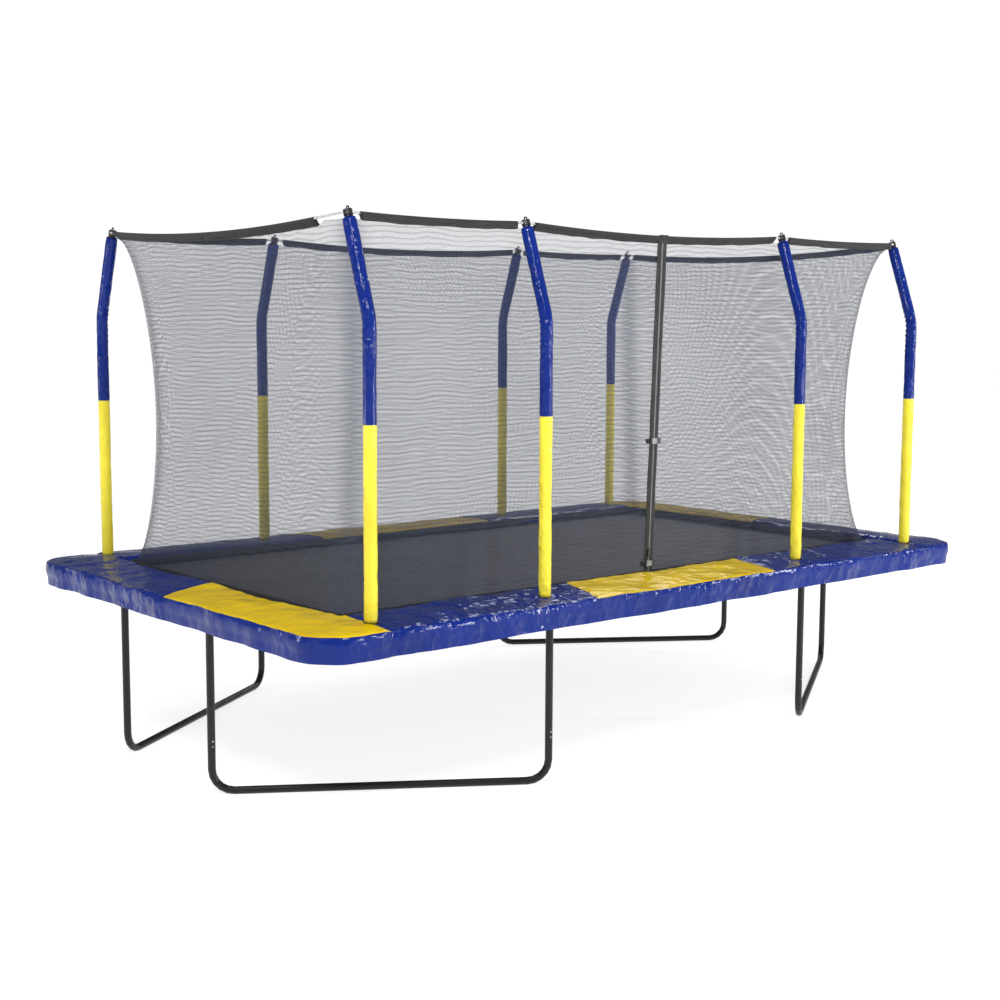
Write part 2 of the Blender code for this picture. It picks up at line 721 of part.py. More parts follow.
def make_buckle(place, z, outward, turn, parts, helpers):
    """A socket half on the left, and a plug half whose tongue slides into it along X."""
    mouth_x = 0.006
    socket_x = mouth_x - SOCKET_LENGTH / 2
    size = (SOCKET_LENGTH, BUCKLE_DEPTH, BUCKLE_HEIGHT)
    socket = box(f"buckle_{place}_socket", size, door_point(z, socket_x, outward), parts, GREY_PLASTIC, turn)
    mouth = (TONGUE_LENGTH * 2 + 0.002, BUCKLE_DEPTH * 0.5, BUCKLE_HEIGHT * 0.7)
    cutter = box(f"mouth_{place}", mouth, door_point(z, mouth_x, outward), helpers, None, turn)
    boolean(socket, as_cutter(cutter), "DIFFERENCE")
    plug_x = mouth_x + GAP + PLUG_LENGTH / 2
    size = (PLUG_LENGTH, BUCKLE_DEPTH, BUCKLE_HEIGHT)
    plug = box(f"buckle_{place}_plug", size, door_point(z, plug_x, outward), parts, BLACK_PLASTIC, turn)
    tongue_size = (TONGUE_LENGTH * 2, BUCKLE_DEPTH * 0.5 - 2 * GAP, BUCKLE_HEIGHT * 0.7 - 2 * GAP)
    tongue = box(f"tongue_{place}", tongue_size, door_point(z, mouth_x, outward), helpers, None, turn)
    boolean(plug, as_cutter(tongue), "UNION")


def main():
    clear_scene()
    parts = new_collection("trampoline")
    helpers = new_collection("helpers")
    make_rails(parts, helpers)
    make_legs(parts)
    make_poles(parts, helpers)
    make_ring(parts)
    make_mat(parts)
    make_springs(parts, helpers)
    make_pads(parts, helpers)
    make_net(parts, helpers)
    make_door(parts, helpers)


main()
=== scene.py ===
"""The looks of the trampoline: net, padding, mat, springs, door and materials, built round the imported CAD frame."""

from math import atan2, cos, pi, radians, sin

import bpy
import numpy as np
from mathutils import Matrix, Vector, noise


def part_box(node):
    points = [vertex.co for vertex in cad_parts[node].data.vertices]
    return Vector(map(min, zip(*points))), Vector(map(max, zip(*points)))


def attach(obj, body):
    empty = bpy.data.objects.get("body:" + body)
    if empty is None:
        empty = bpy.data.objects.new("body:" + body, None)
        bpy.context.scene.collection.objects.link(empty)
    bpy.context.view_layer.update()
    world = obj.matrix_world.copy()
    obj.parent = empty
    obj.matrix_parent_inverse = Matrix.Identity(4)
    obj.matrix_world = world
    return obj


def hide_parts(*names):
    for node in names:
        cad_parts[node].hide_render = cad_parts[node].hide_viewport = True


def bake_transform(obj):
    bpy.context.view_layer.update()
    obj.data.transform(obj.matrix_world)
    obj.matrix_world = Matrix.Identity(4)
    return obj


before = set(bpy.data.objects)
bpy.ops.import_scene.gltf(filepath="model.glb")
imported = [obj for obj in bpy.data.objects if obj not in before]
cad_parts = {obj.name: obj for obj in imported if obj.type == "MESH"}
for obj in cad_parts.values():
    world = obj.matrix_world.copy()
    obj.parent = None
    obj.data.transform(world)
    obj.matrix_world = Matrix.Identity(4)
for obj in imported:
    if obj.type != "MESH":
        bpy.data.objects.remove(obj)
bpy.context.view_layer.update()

# Colours, as linear light.
BLUE = (0.005, 0.021, 0.190)
YELLOW = (0.800, 0.550, 0.006)
LEMON = (0.900, 0.760, 0.060)
NEAR_BLACK = (0.012, 0.012, 0.013)
# NET_GREY is grey thread with a blue tint that is painted light: the bluish background seen through the net
NET_GREY = (0.046, 0.056, 0.090)
MAT_GREY = (0.054, 0.051, 0.056)
ZINC = (0.50, 0.51, 0.53)

# Places that the CAD model's boxes give.
POLE_PLACES = ("left", "mid_left", "mid_right", "right")
POLE_XS = [sum(corner.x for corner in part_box(f"pole_front_{place}")) / 2 for place in POLE_PLACES]
TUBE_R = (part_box("leg_upright_front_left_long")[1].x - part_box("leg_upright_front_left_long")[0].x) / 2
POLE_Y = -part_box("pole_front_left")[0].y - TUBE_R
ROD_R = 0.006
ROD_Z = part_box("ring_rod")[1].z - ROD_R
ROD_SAG = 0.0095
CORNER_RUN = 0.030
POLE_BEND_Z = 2.249
POLE_TOP_Z = 2.697
POLE_LEAN = 0.150
POLE_BEND_R = 0.25
RING_Y = POLE_Y - POLE_LEAN * (ROD_Z - POLE_BEND_Z) / (POLE_TOP_Z - POLE_BEND_Z)
MAT_LOW, MAT_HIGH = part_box("mat")
PAD_LOW, PAD_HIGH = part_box("pad_right")
PAD_X = PAD_HIGH.x
PAD_Y = PAD_HIGH.y
SKIRT_BOTTOM_Z = PAD_LOW.z
SLEEVE_LOW, SLEEVE_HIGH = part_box("pole_sleeve_front_left")

# Net: a rectangle at the ring and at the mat, with widely rounded corners between.
NET_TOP = (1.975, 1.105)
NET_BOTTOM = (1.975, 1.035)
NET_BOTTOM_Z = MAT_HIGH.z + 0.003
NET_CORNER_R = 0.03
NET_WAIST_R = 0.50
HEM_DROP = 0.031

# Edge pads.
PAD_INNER = (1.989, 1.048)
PAD_CORNER_R = 0.20
PAD_INNER_R = 0.03
PAD_BOTTOM_Z = 0.890
PAD_OUTER_TOP_Z = 0.911
PAD_INNER_TOP_Z = 0.927
SKIRT_THICKNESS = 0.004
SLIT_GAP = 0.0008
SKIRT_SEED = 8.0  # one for all pads, so that neighbouring skirts meet at a slit
STATION = 0.012


# ---------------------------------------------------------------- mesh helpers


def add_piece(name, verts, faces, materials, indices=None, uvs=None, smooth=True):
    """A mesh object; uvs holds one pair for each vertex, in metres along the surface."""
    mesh = bpy.data.meshes.new(name)
    mesh.from_pydata([tuple(v) for v in verts], [], [tuple(f) for f in faces])
    for spec in materials:
        mesh.materials.append(spec)
    if indices is not None:
        mesh.polygons.foreach_set("material_index", indices)
    if uvs is not None:
        layer = mesh.uv_layers.new(name="UVMap")
        corners = np.empty(len(mesh.loops), np.int32)
        mesh.loops.foreach_get("vertex_index", corners)
        layer.data.foreach_set("uv", np.asarray(uvs, np.float32)[corners].ravel())
    if smooth:
        mesh.shade_smooth()
    mesh.validate()
    piece = bpy.data.objects.new(name, mesh)
    bpy.context.scene.collection.objects.link(piece)
    return piece


def grid_faces(rows, columns, wrap_rows=False, wrap_columns=False, start=0):
    """Quads of a grid whose vertices run column by column along each row."""
    faces = []
    for row in range(rows if wrap_rows else rows - 1):
        for column in range(columns if wrap_columns else columns - 1):
            a = start + row * columns + column
            b = start + row * columns + (column + 1) % columns
            c = start + (row + 1) % rows * columns + (column + 1) % columns
            d = start + (row + 1) % rows * columns + column
            faces.append((a, b, c, d))
    return faces


def loft(name, rings, material, closed_ring=True, caps=True, closed_path=False, smooth=True):
    """Skin over rings of points, with flat ends."""
    rings = np.asarray(rings, float)
    count, around = rings.shape[:2]
    faces = grid_faces(count, around, closed_path, closed_ring)
    if caps and not closed_path:
        faces.append(tuple(reversed(range(around))))
        faces.append(tuple(range((count - 1) * around, count * around)))
    return add_piece(name, rings.reshape(-1, 3), faces, [material], smooth=smooth)


def joined(name, pieces):
    """Several mesh objects made one."""
    with bpy.context.temp_override(active_object=pieces[0], selected_editable_objects=pieces):
        bpy.ops.object.join()
    pieces[0].name = name
    return pieces[0]


def filleted(corners, radius, steps):
    """The polyline through the corners, with each inner corner replaced by an arc."""
    points = [Vector(corners[0])]
    for before, corner, after in zip(corners, corners[1:], corners[2:]):
        corner = Vector(corner)
        back = (Vector(before) - corner).normalized()
        ahead = (Vector(after) - corner).normalized()
        half = back.angle(ahead) / 2
        centre = corner + (back + ahead).normalized() * radius / sin(half)
        start = corner + back * radius * cos(half) / sin(half)
        spin_axis = ahead.cross(back)
        sweep = pi - 2 * half
        for step in range(steps + 1):
            turn = Matrix.Rotation(sweep * step / steps, 3, spin_axis)
            points.append(centre + turn @ (start - centre))
    points.append(Vector(corners[-1]))
    return points


def resampled(points, spacing):
    """Points an even distance apart along a polyline."""
    line = np.array([tuple(p) for p in points], float)
    along = np.concatenate([[0], np.cumsum(np.linalg.norm(np.diff(line, axis=0), axis=1))])
    count = max(2, round(along[-1] / spacing) + 1)
    at = np.linspace(0, along[-1], count)
    return np.stack([np.interp(at, along, line[:, axis]) for axis in range(3)], axis=1)


def ridged(point, scale, seed):
    """Noise from 0 to 1 with sharp crests, as creases in a coated fabric have."""
    value = noise.noise(Vector((point[0] * scale[0] + seed, point[1] * scale[1] - seed, point[2] * scale[2])))
    return (1 - min(1.0, abs(value) * 2.2)) ** 2


def smooth_noise(point, scale, seed):
    return noise.noise(Vector((point[0] * scale[0] + seed, point[1] * scale[1] + 2 * seed, point[2] * scale[2])))


# ---------------------------------------------------------------- material helpers


class Nodes:
    """Short calls for the nodes of one Principled material."""

    def __init__(self, name, colour, roughness, metallic=0.0):
        self.material = bpy.data.materials.new(name)
        self.material.use_nodes = True
        self.tree = self.material.node_tree
        self.shader = self.tree.nodes["Principled BSDF"]
        self.shader.inputs["Base Color"].default_value = (*colour, 1)
        self.shader.inputs["Roughness"].default_value = roughness
        self.shader.inputs["Metallic"].default_value = metallic
        self.where = self.tree.nodes.new("ShaderNodeTexCoord")

    def put(self, source, socket):
        self.tree.links.new(source, self.shader.inputs[socket])

    def set(self, **values):
        """Uniform values on the shader, with underscores for the spaces in the names."""
        for name, value in values.items():
            self.shader.inputs[name.replace("_", " ")].default_value = value

    def link_or_set(self, socket, value):
        if hasattr(value, "links"):
            self.tree.links.new(value, socket)
        else:
            socket.default_value = value

    def scaled(self, scale, output="Object"):
        mapping = self.tree.nodes.new("ShaderNodeMapping")
        mapping.inputs["Scale"].default_value = scale
        self.tree.links.new(self.where.outputs[output], mapping.inputs["Vector"])
        return mapping.outputs["Vector"]

    def noise_node(self, scale, detail, roughness, vector):
        node = self.tree.nodes.new("ShaderNodeTexNoise")
        node.inputs["Scale"].default_value = scale
        node.inputs["Detail"].default_value = detail
        node.inputs["Roughness"].default_value = roughness
        self.tree.links.new(vector, node.inputs["Vector"])
        return node

    def noise(self, scale, detail=3.0, roughness=0.55, stretch=(1, 1, 1), output="Object"):
        return self.noise_node(scale, detail, roughness, self.scaled(stretch, output)).outputs["Fac"]

    def facets(self, scale, warp, stretch=(1, 1, 1)):
        """Heights of a crumpled sheet: slopes that meet in sharp, bent ridges."""
        bend = self.noise_node(scale * 0.6, 2, 0.5, self.scaled((1, 1, 1)))
        move = self.tree.nodes.new("ShaderNodeVectorMath")
        move.operation = "MULTIPLY_ADD"
        move.inputs[1].default_value = (warp / scale,) * 3
        self.tree.links.new(bend.outputs["Color"], move.inputs[0])
        self.tree.links.new(self.scaled(stretch), move.inputs[2])
        cells = self.tree.nodes.new("ShaderNodeTexVoronoi")
        cells.inputs["Scale"].default_value = scale
        self.tree.links.new(move.outputs[0], cells.inputs["Vector"])
        return cells.outputs["Distance"]

    def wave(self, period, direction, output="Object", warp=0.0, warp_scale=1.0):
        """Bands across one axis, with the period in metres."""
        node = self.tree.nodes.new("ShaderNodeTexWave")
        node.wave_type = "BANDS"
        node.bands_direction = direction
        node.inputs["Scale"].default_value = 2 * pi / (20 * period)
        node.inputs["Distortion"].default_value = warp
        node.inputs["Detail Scale"].default_value = warp_scale
        self.tree.links.new(self.where.outputs[output], node.inputs["Vector"])
        return node.outputs["Fac"]

    def attribute(self, name):
        node = self.tree.nodes.new("ShaderNodeAttribute")
        node.attribute_name = name
        return node.outputs["Fac"]

    def math(self, operation, first, second=0.0):
        node = self.tree.nodes.new("ShaderNodeMath")
        node.operation = operation
        self.link_or_set(node.inputs[0], first)
        self.link_or_set(node.inputs[1], second)
        return node.outputs[0]

    def ramp(self, source, low, high, out_low=0.0, out_high=1.0):
        node = self.tree.nodes.new("ShaderNodeMapRange")
        self.tree.links.new(source, node.inputs["Value"])
        for socket, value in zip(("From Min", "From Max", "To Min", "To Max"), (low, high, out_low, out_high)):
            node.inputs[socket].default_value = value
        return node.outputs["Result"]

    def mix(self, factor, first, second):
        """A blend of two colours, each a socket or three numbers."""
        node = self.tree.nodes.new("ShaderNodeMix")
        node.data_type = "RGBA"
        self.tree.links.new(factor, node.inputs["Factor"])
        colours = [socket for socket in node.inputs if socket.type == "RGBA"]
        for socket, value in zip(colours, (first, second)):
            self.link_or_set(socket, value if hasattr(value, "links") else (*value, 1))
        return [socket for socket in node.outputs if socket.type == "RGBA"][0]

    def separate(self, vector):
        node = self.tree.nodes.new("ShaderNodeSeparateXYZ")
        self.tree.links.new(vector, node.inputs[0])
        return node.outputs

    def bump(self, height, distance, strength=1.0, under=None):
        node = self.tree.nodes.new("ShaderNodeBump")
        node.inputs["Distance"].default_value = distance
        node.inputs["Strength"].default_value = strength
        self.tree.links.new(height, node.inputs["Height"])
        if under:
            self.tree.links.new(under, node.inputs["Normal"])
        return node.outputs["Normal"]


def shade(colour, factor):
    return tuple(min(1.0, channel * factor) for channel in colour)


def vinyl(name, colour, facet_scale, crumple, gloss):
    """Shiny PVC-coated fabric: a faint weave, sharp creases where it is loose, dust and rubbed patches."""
    n = Nodes(name, colour, 0.22)
    blotch = n.noise(2.6, 4, 0.6)
    loose = n.ramp(n.noise(1.5, 2, 0.5), 0.38, 0.58, 0.30, 1.0)
    crease = n.facets(facet_scale, 1.5, (1, 1, 0.6))
    crackle = n.facets(facet_scale * 2.6, 1.2, (1, 1, 0.7))
    fine = n.noise(60.0, 4, 0.6)
    tone = n.mix(n.ramp(blotch, 0.3, 0.7), shade(colour, 0.82), shade(colour, 1.12))
    worn = n.ramp(n.noise(17.0, 5, 0.65), 0.62, 0.85, 0.0, 0.08)
    n.put(n.mix(worn, tone, tuple(0.7 * c + 0.05 for c in colour)), "Base Color")
    n.put(n.ramp(n.noise(9.0, 4, 0.6), 0.3, 0.75, 0.12, 0.22), "Roughness")
    weave = n.math("MULTIPLY", n.wave(0.0045, "X"), n.wave(0.0045, "Y"))
    normal = n.bump(weave, 0.0002, 0.25)
    normal = n.bump(fine, 0.0006, 0.5, normal)
    normal = n.bump(n.math("MULTIPLY", crackle, loose), crumple * 0.36, 1.0, normal)
    n.put(n.bump(n.math("MULTIPLY", crease, loose), crumple, 1.0, normal), "Normal")
    n.set(Specular_IOR_Level=gloss, Coat_Weight=gloss * 0.5, Coat_Roughness=0.06)
    return n.material


def coated_steel():
    """Black powder coat with orange peel and faint dust and scuffs."""
    n = Nodes("coated_steel", NEAR_BLACK, 0.34)
    speck = n.noise(240.0, 3, 0.5)
    dust = n.noise(7.0, 6, 0.7)
    n.put(n.mix(n.ramp(dust, 0.55, 0.85, 0.0, 0.4), NEAR_BLACK, (0.035, 0.035, 0.037)), "Base Color")
    n.put(n.ramp(dust, 0.3, 0.8, 0.30, 0.48), "Roughness")
    n.put(n.bump(speck, 0.0006, 0.35), "Normal")
    n.set(Specular_IOR_Level=0.30)
    return n.material


def zinc_steel():
    n = Nodes("zinc_steel", ZINC, 0.30, 1.0)
    cloud = n.noise(40.0, 5, 0.65)
    n.put(n.mix(n.ramp(cloud, 0.35, 0.7), shade(ZINC, 0.75), shade(ZINC, 1.15)), "Base Color")
    n.put(n.ramp(cloud, 0.3, 0.7, 0.22, 0.42), "Roughness")
    n.put(n.bump(n.noise(300.0, 2), 0.0002, 0.3), "Normal")
    return n.material


def moulded_plastic(name, colour):
    n = Nodes(name, colour, 0.42)
    grain = n.noise(900.0, 2, 0.6)
    n.put(n.mix(n.ramp(n.noise(30.0, 4), 0.4, 0.75), colour, shade(colour, 1.6)), "Base Color")
    n.put(n.ramp(grain, 0.3, 0.7, 0.36, 0.52), "Roughness")
    n.put(n.bump(grain, 0.0002, 0.5), "Normal")
    return n.material


def rod_material():
    """Pultruded glass-fibre rod: chalky, with fine streaks."""
    colour = (0.60, 0.60, 0.57)
    n = Nodes("glass_fibre_rod", colour, 0.45)
    streak = n.noise(30.0, 5, 0.7)
    n.put(n.mix(n.ramp(streak, 0.35, 0.7), shade(colour, 0.72), shade(colour, 1.1)), "Base Color")
    n.put(n.bump(streak, 0.0006, 0.4), "Normal")
    return n.material


def webbing(name, colour, across="Y"):
    """Ribbed woven tape."""
    n = Nodes(name, colour, 0.72)
    pattern = n.math("MULTIPLY", n.wave(0.0042, "Z"), n.wave(0.0056, across))
    fade = n.ramp(n.noise(14.0, 4), 0.35, 0.75)
    n.put(n.mix(n.math("MULTIPLY", pattern, fade), colour, shade(colour, 2.6)), "Base Color")
    n.put(n.bump(n.noise(30.0, 3, 0.6), 0.003, 0.4, n.bump(pattern, 0.0006, 0.6)), "Normal")
    n.set(Specular_IOR_Level=0.25, Sheen_Weight=0.12, Sheen_Roughness=0.5)
    return n.material


def woven_mat():
    """Tightly woven black polypropylene with dust, and a painted sheen that lightens the colour along the threads."""
    n = Nodes("woven_mat", MAT_GREY, 0.58)
    weave = n.math("MULTIPLY", n.wave(0.0026, "X"), n.wave(0.0026, "Y"))
    rows = n.wave(0.031, "Y", warp=3.0, warp_scale=0.6)
    dust = n.noise(2.2, 6, 0.65)
    tone = n.mix(n.ramp(dust, 0.35, 0.75), shade(MAT_GREY, 0.8), shade(MAT_GREY, 1.35))
    tone = n.mix(n.math("MULTIPLY", rows, 0.18), tone, shade(MAT_GREY, 1.9))
    # painted sheen: the weave lifts the base colour along the threads
    n.put(n.mix(n.math("MULTIPLY", weave, 0.35), tone, shade(MAT_GREY, 2.2)), "Base Color")
    n.put(n.ramp(n.noise(11.0, 4), 0.3, 0.7, 0.50, 0.68), "Roughness")
    n.put(n.bump(weave, 0.0006, 0.5), "Normal")
    n.set(Specular_IOR_Level=0.30, Sheen_Weight=0.10, Sheen_Roughness=0.4)
    return n.material


def net_material(name, cover):
    """Knitted net: crossing threads with clear gaps, and rows that lie a little denser. cover is a thread's share."""
    n = Nodes(name, NET_GREY, 0.70)
    x, y, _ = n.separate(n.where.outputs["UV"])
    cell, slope = 0.0092, 0.8
    threads = []
    for sign in ("ADD", "SUBTRACT"):
        phase = n.math("MULTIPLY", n.math(sign, x, n.math("MULTIPLY", y, slope)), 1 / cell)
        ripple = n.math("ABSOLUTE", n.math("SUBTRACT", n.math("FRACT", phase), 0.5))
        threads.append(n.ramp(ripple, 0.5 - cover * 0.6, 0.5 - cover * 0.4))
    thread = n.math("MAXIMUM", threads[0], threads[1])
    rows = n.wave(0.025, "Y", "UV", warp=8.0, warp_scale=0.30)
    patch = n.noise(1.3, 3, 0.6, (1, 1.4, 1), "UV")
    density = n.math("MULTIPLY", n.ramp(rows, 0.35, 1.0, 0.84, 1.0), n.ramp(patch, 0.3, 0.7, 0.90, 1.05))
    haze = n.ramp(rows, 0.62, 1.0, 0.0, 0.24)
    alpha = n.math("MAXIMUM", n.math("MULTIPLY", thread, density), haze)
    n.put(n.math("MINIMUM", n.math("ADD", alpha, n.attribute("gather")), 1.0), "Alpha")
    # the net's grey carries a painted blue tint of the background seen through it
    n.put(n.mix(n.noise(60.0, 2, 0.5, (1, 1, 1), "UV"), shade(NET_GREY, 0.7), shade(NET_GREY, 1.4)), "Base Color")
    n.put(n.bump(thread, 0.001, 0.4), "Normal")
    n.set(Specular_IOR_Level=0.2)
    return n.material


# ---------------------------------------------------------------- net and ring


def net_section(height):
    """Half sizes and corner radius of the net at a share of its height, 0 at the mat."""
    half_x = NET_BOTTOM[0] + (NET_TOP[0] - NET_BOTTOM[0]) * height
    half_y = NET_BOTTOM[1] + (NET_TOP[1] - NET_BOTTOM[1]) * height
    swell = (4 * height * (1 - height)) ** 0.6 if 0 < height < 1 else 0.0
    return half_x, half_y, NET_CORNER_R + (NET_WAIST_R - NET_CORNER_R) * swell


def ring_height(x, y):
    """How high the rod hangs over a point near the ring, from the sag of the span it is in."""
    if abs(y) >= NET_TOP[1] - 0.2 and abs(x) < POLE_XS[3]:
        start, end = [ends for ends in zip(POLE_XS, POLE_XS[1:]) if ends[0] <= x <= ends[1]][0]
        share, span = (x - start) / (end - start), end - start
    else:
        span = 2 * RING_Y
        share = min(1.0, max(0.0, y / span + 0.5))
    return ROD_Z - ROD_SAG * span * span * 4 * share * (1 - share)


def side_turn(side):
    return {"front": 0, "right": 1, "back": 2, "left": 3}[side] * pi / 2


def side_row(side, height, shares):
    """Points in plan across one side of the net, at shares of its length from seam to seam."""
    half_x, half_y, radius = net_section(height)
    across, out = (half_x, half_y) if side in ("front", "back") else (half_y, half_x)
    flat, arc = across - radius, radius * pi / 4
    turn = side_turn(side)
    row = []
    for share in shares:
        along = (2 * share - 1) * (flat + arc)
        past = max(0.0, abs(along) - flat)
        angle = past / radius
        u = (min(abs(along), flat) + radius * sin(angle)) * (1 if along > 0 else -1)
        v = out - radius + radius * cos(angle)
        row.append((u * cos(turn) + v * sin(turn), u * sin(turn) - v * cos(turn)))
    return row


def make_net_side(side, material):
    """One side of the net, with slack ripples, and gathered into its corners and hems."""
    length = 2 * (NET_TOP[0] if side in ("front", "back") else NET_TOP[1])
    columns, rows = round(length / 0.035), 56
    shares = np.linspace(0, 1, columns + 1)
    top_row = side_row(side, 1.0, shares)
    verts, uvs, gathers = [], [], []
    for row in range(rows + 1):
        height = row / rows
        for (x, y), (top_x, top_y), share in zip(side_row(side, height, shares), top_row, shares):
            top_z = ring_height(top_x, top_y) - HEM_DROP * 0.75
            z = NET_BOTTOM_Z + (top_z - NET_BOTTOM_Z) * height
            slack = sin(pi * height) * min(1.0, 12 * share * (1 - share))
            ripple = slack * 0.010 * smooth_noise((x, y, z), (1.6, 1.6, 0.8), 3.0)
            pinch = 0.004 * sin(share * 140) * (1 - height) ** 6
            out = Vector((x, y, 0)).normalized()
            verts.append((x + out.x * (ripple + pinch), y + out.y * (ripple + pinch), z))
            uvs.append((share * length, z))
            from_corner = length * min(share, 1 - share)
            gather = 0.30 * np.exp(-((from_corner / 0.055) ** 2))
            gathers.append(gather + 0.25 * (1 - height) ** 24)
    net = add_piece(f"net_cloth_{side}", verts, grid_faces(rows + 1, columns + 1), [material], uvs=uvs)
    layer = net.data.attributes.new("gather", "FLOAT", "POINT")
    layer.data.foreach_set("value", gathers)
    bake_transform(net)
    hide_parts(f"net_{side}")
    return net, length


def ring_spans():
    """Each span of the rod between two caps: its name, its ends, how much of each end is bare, and the net's line."""
    skew = CORNER_RUN / 2**0.5
    for sy, name in ((-1, "front"), (1, "back")):
        for index, (start, end) in enumerate(zip(POLE_XS, POLE_XS[1:])):
            first = (start + skew, sy * (RING_Y + skew)) if index == 0 else (start + CORNER_RUN, sy * RING_Y)
            last = (end - skew, sy * (RING_Y + skew)) if index == 2 else (end - CORNER_RUN, sy * RING_Y)
            yield f"{name}_{index}", first, last, (0.026, 0.026), Vector((0, sy * NET_TOP[1], 0))
    for sx, name, bare in ((-1, "left", (0.21, 0.030)), (1, "right", (0.035, 0.030))):
        x = sx * (POLE_XS[3] + skew)
        yield name, (x, skew - RING_Y), (x, RING_Y - skew), bare, Vector((sx * NET_TOP[0], 0, 0))


def hem_profile(drop):
    """The tunnel's outline across the rod, as outward and upward places: round it, then two layers sewn flat."""
    r = ROD_R + 0.0030
    half = 0.0022
    right = [(0, r), (0.55 * r, 0.84 * r), (0.95 * r, 0.3 * r), (0.95 * r, -0.4 * r), (0.6 * r, -1.2 * r)]
    right += [(half, -2.0 * r), (half, -0.6 * drop), (half * 1.5, -drop + 0.003), (half * 0.4, -drop)]
    return right + [(-a, b) for a, b in reversed(right[1:])]


def make_hem_tunnel(name, start, end, bare, net_line, material):
    """The black tunnel sewn along the net's top, gathered a little on the rod."""
    start, end = Vector((*start, 0)), Vector((*end, 0))
    along = (end - start).normalized()
    span = (end - start).length
    outward = Vector((along.y, -along.x, 0))
    if outward.dot(start + end) < 0:
        outward = -outward
    steps = round(span / 0.018)
    rings = []
    for step in range(steps + 1):
        share = (bare[0] + (span - bare[0] - bare[1]) * step / steps) / span
        centre = start + along * span * share
        centre.z = ROD_Z - ROD_SAG * span * span * 4 * share * (1 - share)
        across = outward.dot(centre)
        inset = across - abs(net_line.x + net_line.y)
        drop = HEM_DROP * (0.86 if step in (0, steps) else 1.0) + 0.005 * smooth_noise(centre, (11, 11, 0), 5.0)
        sway = 0.003 * smooth_noise(centre, (22, 22, 0), 9.0) - inset
        swell = 1.06 + 0.16 * smooth_noise(centre, (34, 34, 0), 2.0)
        ring = []
        for side, rise in hem_profile(drop):
            below = min(1.0, max(0.0, -rise / drop))
            ring.append(tuple(centre + outward * (side * swell + sway * below) + Vector((0, 0, rise))))
        rings.append(ring)
    tunnel = loft(f"hem_tunnel_{name}", rings, material)
    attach(tunnel, "frame")
    return tunnel


def make_foot_hem(side, material):
    """The dark band along the net's lower edge, laced to the mat."""
    length = 2 * (NET_BOTTOM[0] if side in ("front", "back") else NET_BOTTOM[1])
    columns = round(length / 0.03)
    shares = np.linspace(0, 1, columns + 1)
    half = 0.0022
    rings = []
    for share in shares:
        x, y = side_row(side, 0.0, [share])[0]
        out = Vector((x, y, 0)).normalized() if share in (0, 1) else Vector(
            (sin(side_turn(side)), -cos(side_turn(side)), 0)
        )
        sway = 0.003 * smooth_noise((x, y, 0), (12, 12, 0), 4.0)
        height = 0.046 + 0.003 * smooth_noise((x, y, 0), (9, 9, 0), 8.0)
        low = MAT_HIGH.z + 0.0012
        centre = Vector((x, y, 0)) + out * sway
        ring = [
            centre - out * half * 2.2 + Vector((0, 0, low)),
            centre + out * half * 2.2 + Vector((0, 0, low)),
            centre + out * half + Vector((0, 0, low + height * 0.5)),
            centre + out * half + Vector((0, 0, low + height)),
            centre - out * half + Vector((0, 0, low + height)),
            centre - out * half + Vector((0, 0, low + height * 0.5)),
        ]
        rings.append([tuple(p) for p in ring])
    band = loft(f"foot_hem_{side}", rings, material)
    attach(band, "mat")
    return band


def make_net(net_cloth, tape):
    tunnels = {"front": [], "back": [], "left": [], "right": []}
    for name, start, end, bare, net_line in ring_spans():
        tunnels[name.split("_")[0]].append(make_hem_tunnel(name, start, end, bare, net_line, tape))
    for side in ("front", "right", "back", "left"):
        net, length = make_net_side(side, net_cloth)
        foot = make_foot_hem(side, tape)


# ---------------------------------------------------------------- poles


def pole_line(x, sy, low, high):
    """The pole's centre line between two heights, with even steps."""
    lean = POLE_LEAN / (POLE_TOP_Z - POLE_BEND_Z)
    top_y = sy * (POLE_Y - lean * (high - POLE_BEND_Z))
    corners = [(x, sy * POLE_Y, low), (x, sy * POLE_Y, POLE_BEND_Z), (x, top_y, high)]
    return resampled(filleted(corners, POLE_BEND_R, 8), 0.015)


SLEEVE_R = 0.0305
SLEEVE_JOIN_Z = 1.797
SLEEVE_AROUND = 28


def sleeve_radius(end, z, angle, x, sy, colour_gap):
    """The sleeve's radius at a point: foam under loose vinyl, drawn in at its ends and at the join of the colours."""
    point = (x + 0.05 * cos(angle), sy + 0.05 * sin(angle), z)
    radius = SLEEVE_R + 0.0018 * smooth_noise(point, (14, 14, 3.5), x)
    radius += 0.0030 * creased(point, 17.0, 3 * x + sy) - 0.0010
    folds = max(0.0, 1 - abs(z - POLE_BEND_Z + 0.02) / 0.22)
    inside = max(0.0, -sin(angle) * sy + 0.35)
    radius += folds * inside * 0.0032 * sin(z * 210 + 2.5 * cos(angle) + 3 * x)
    seam = max(0.0, 1 - abs(angle - pi) / 0.22)
    radius += seam * (0.0016 * sin(z * 120 + x) - 0.0012)
    radius -= (0.0020, 0.0006, 0.0)[min(end, 2)]
    radius -= 0.0016 * max(0.0, 1 - colour_gap / 0.010)
    return radius


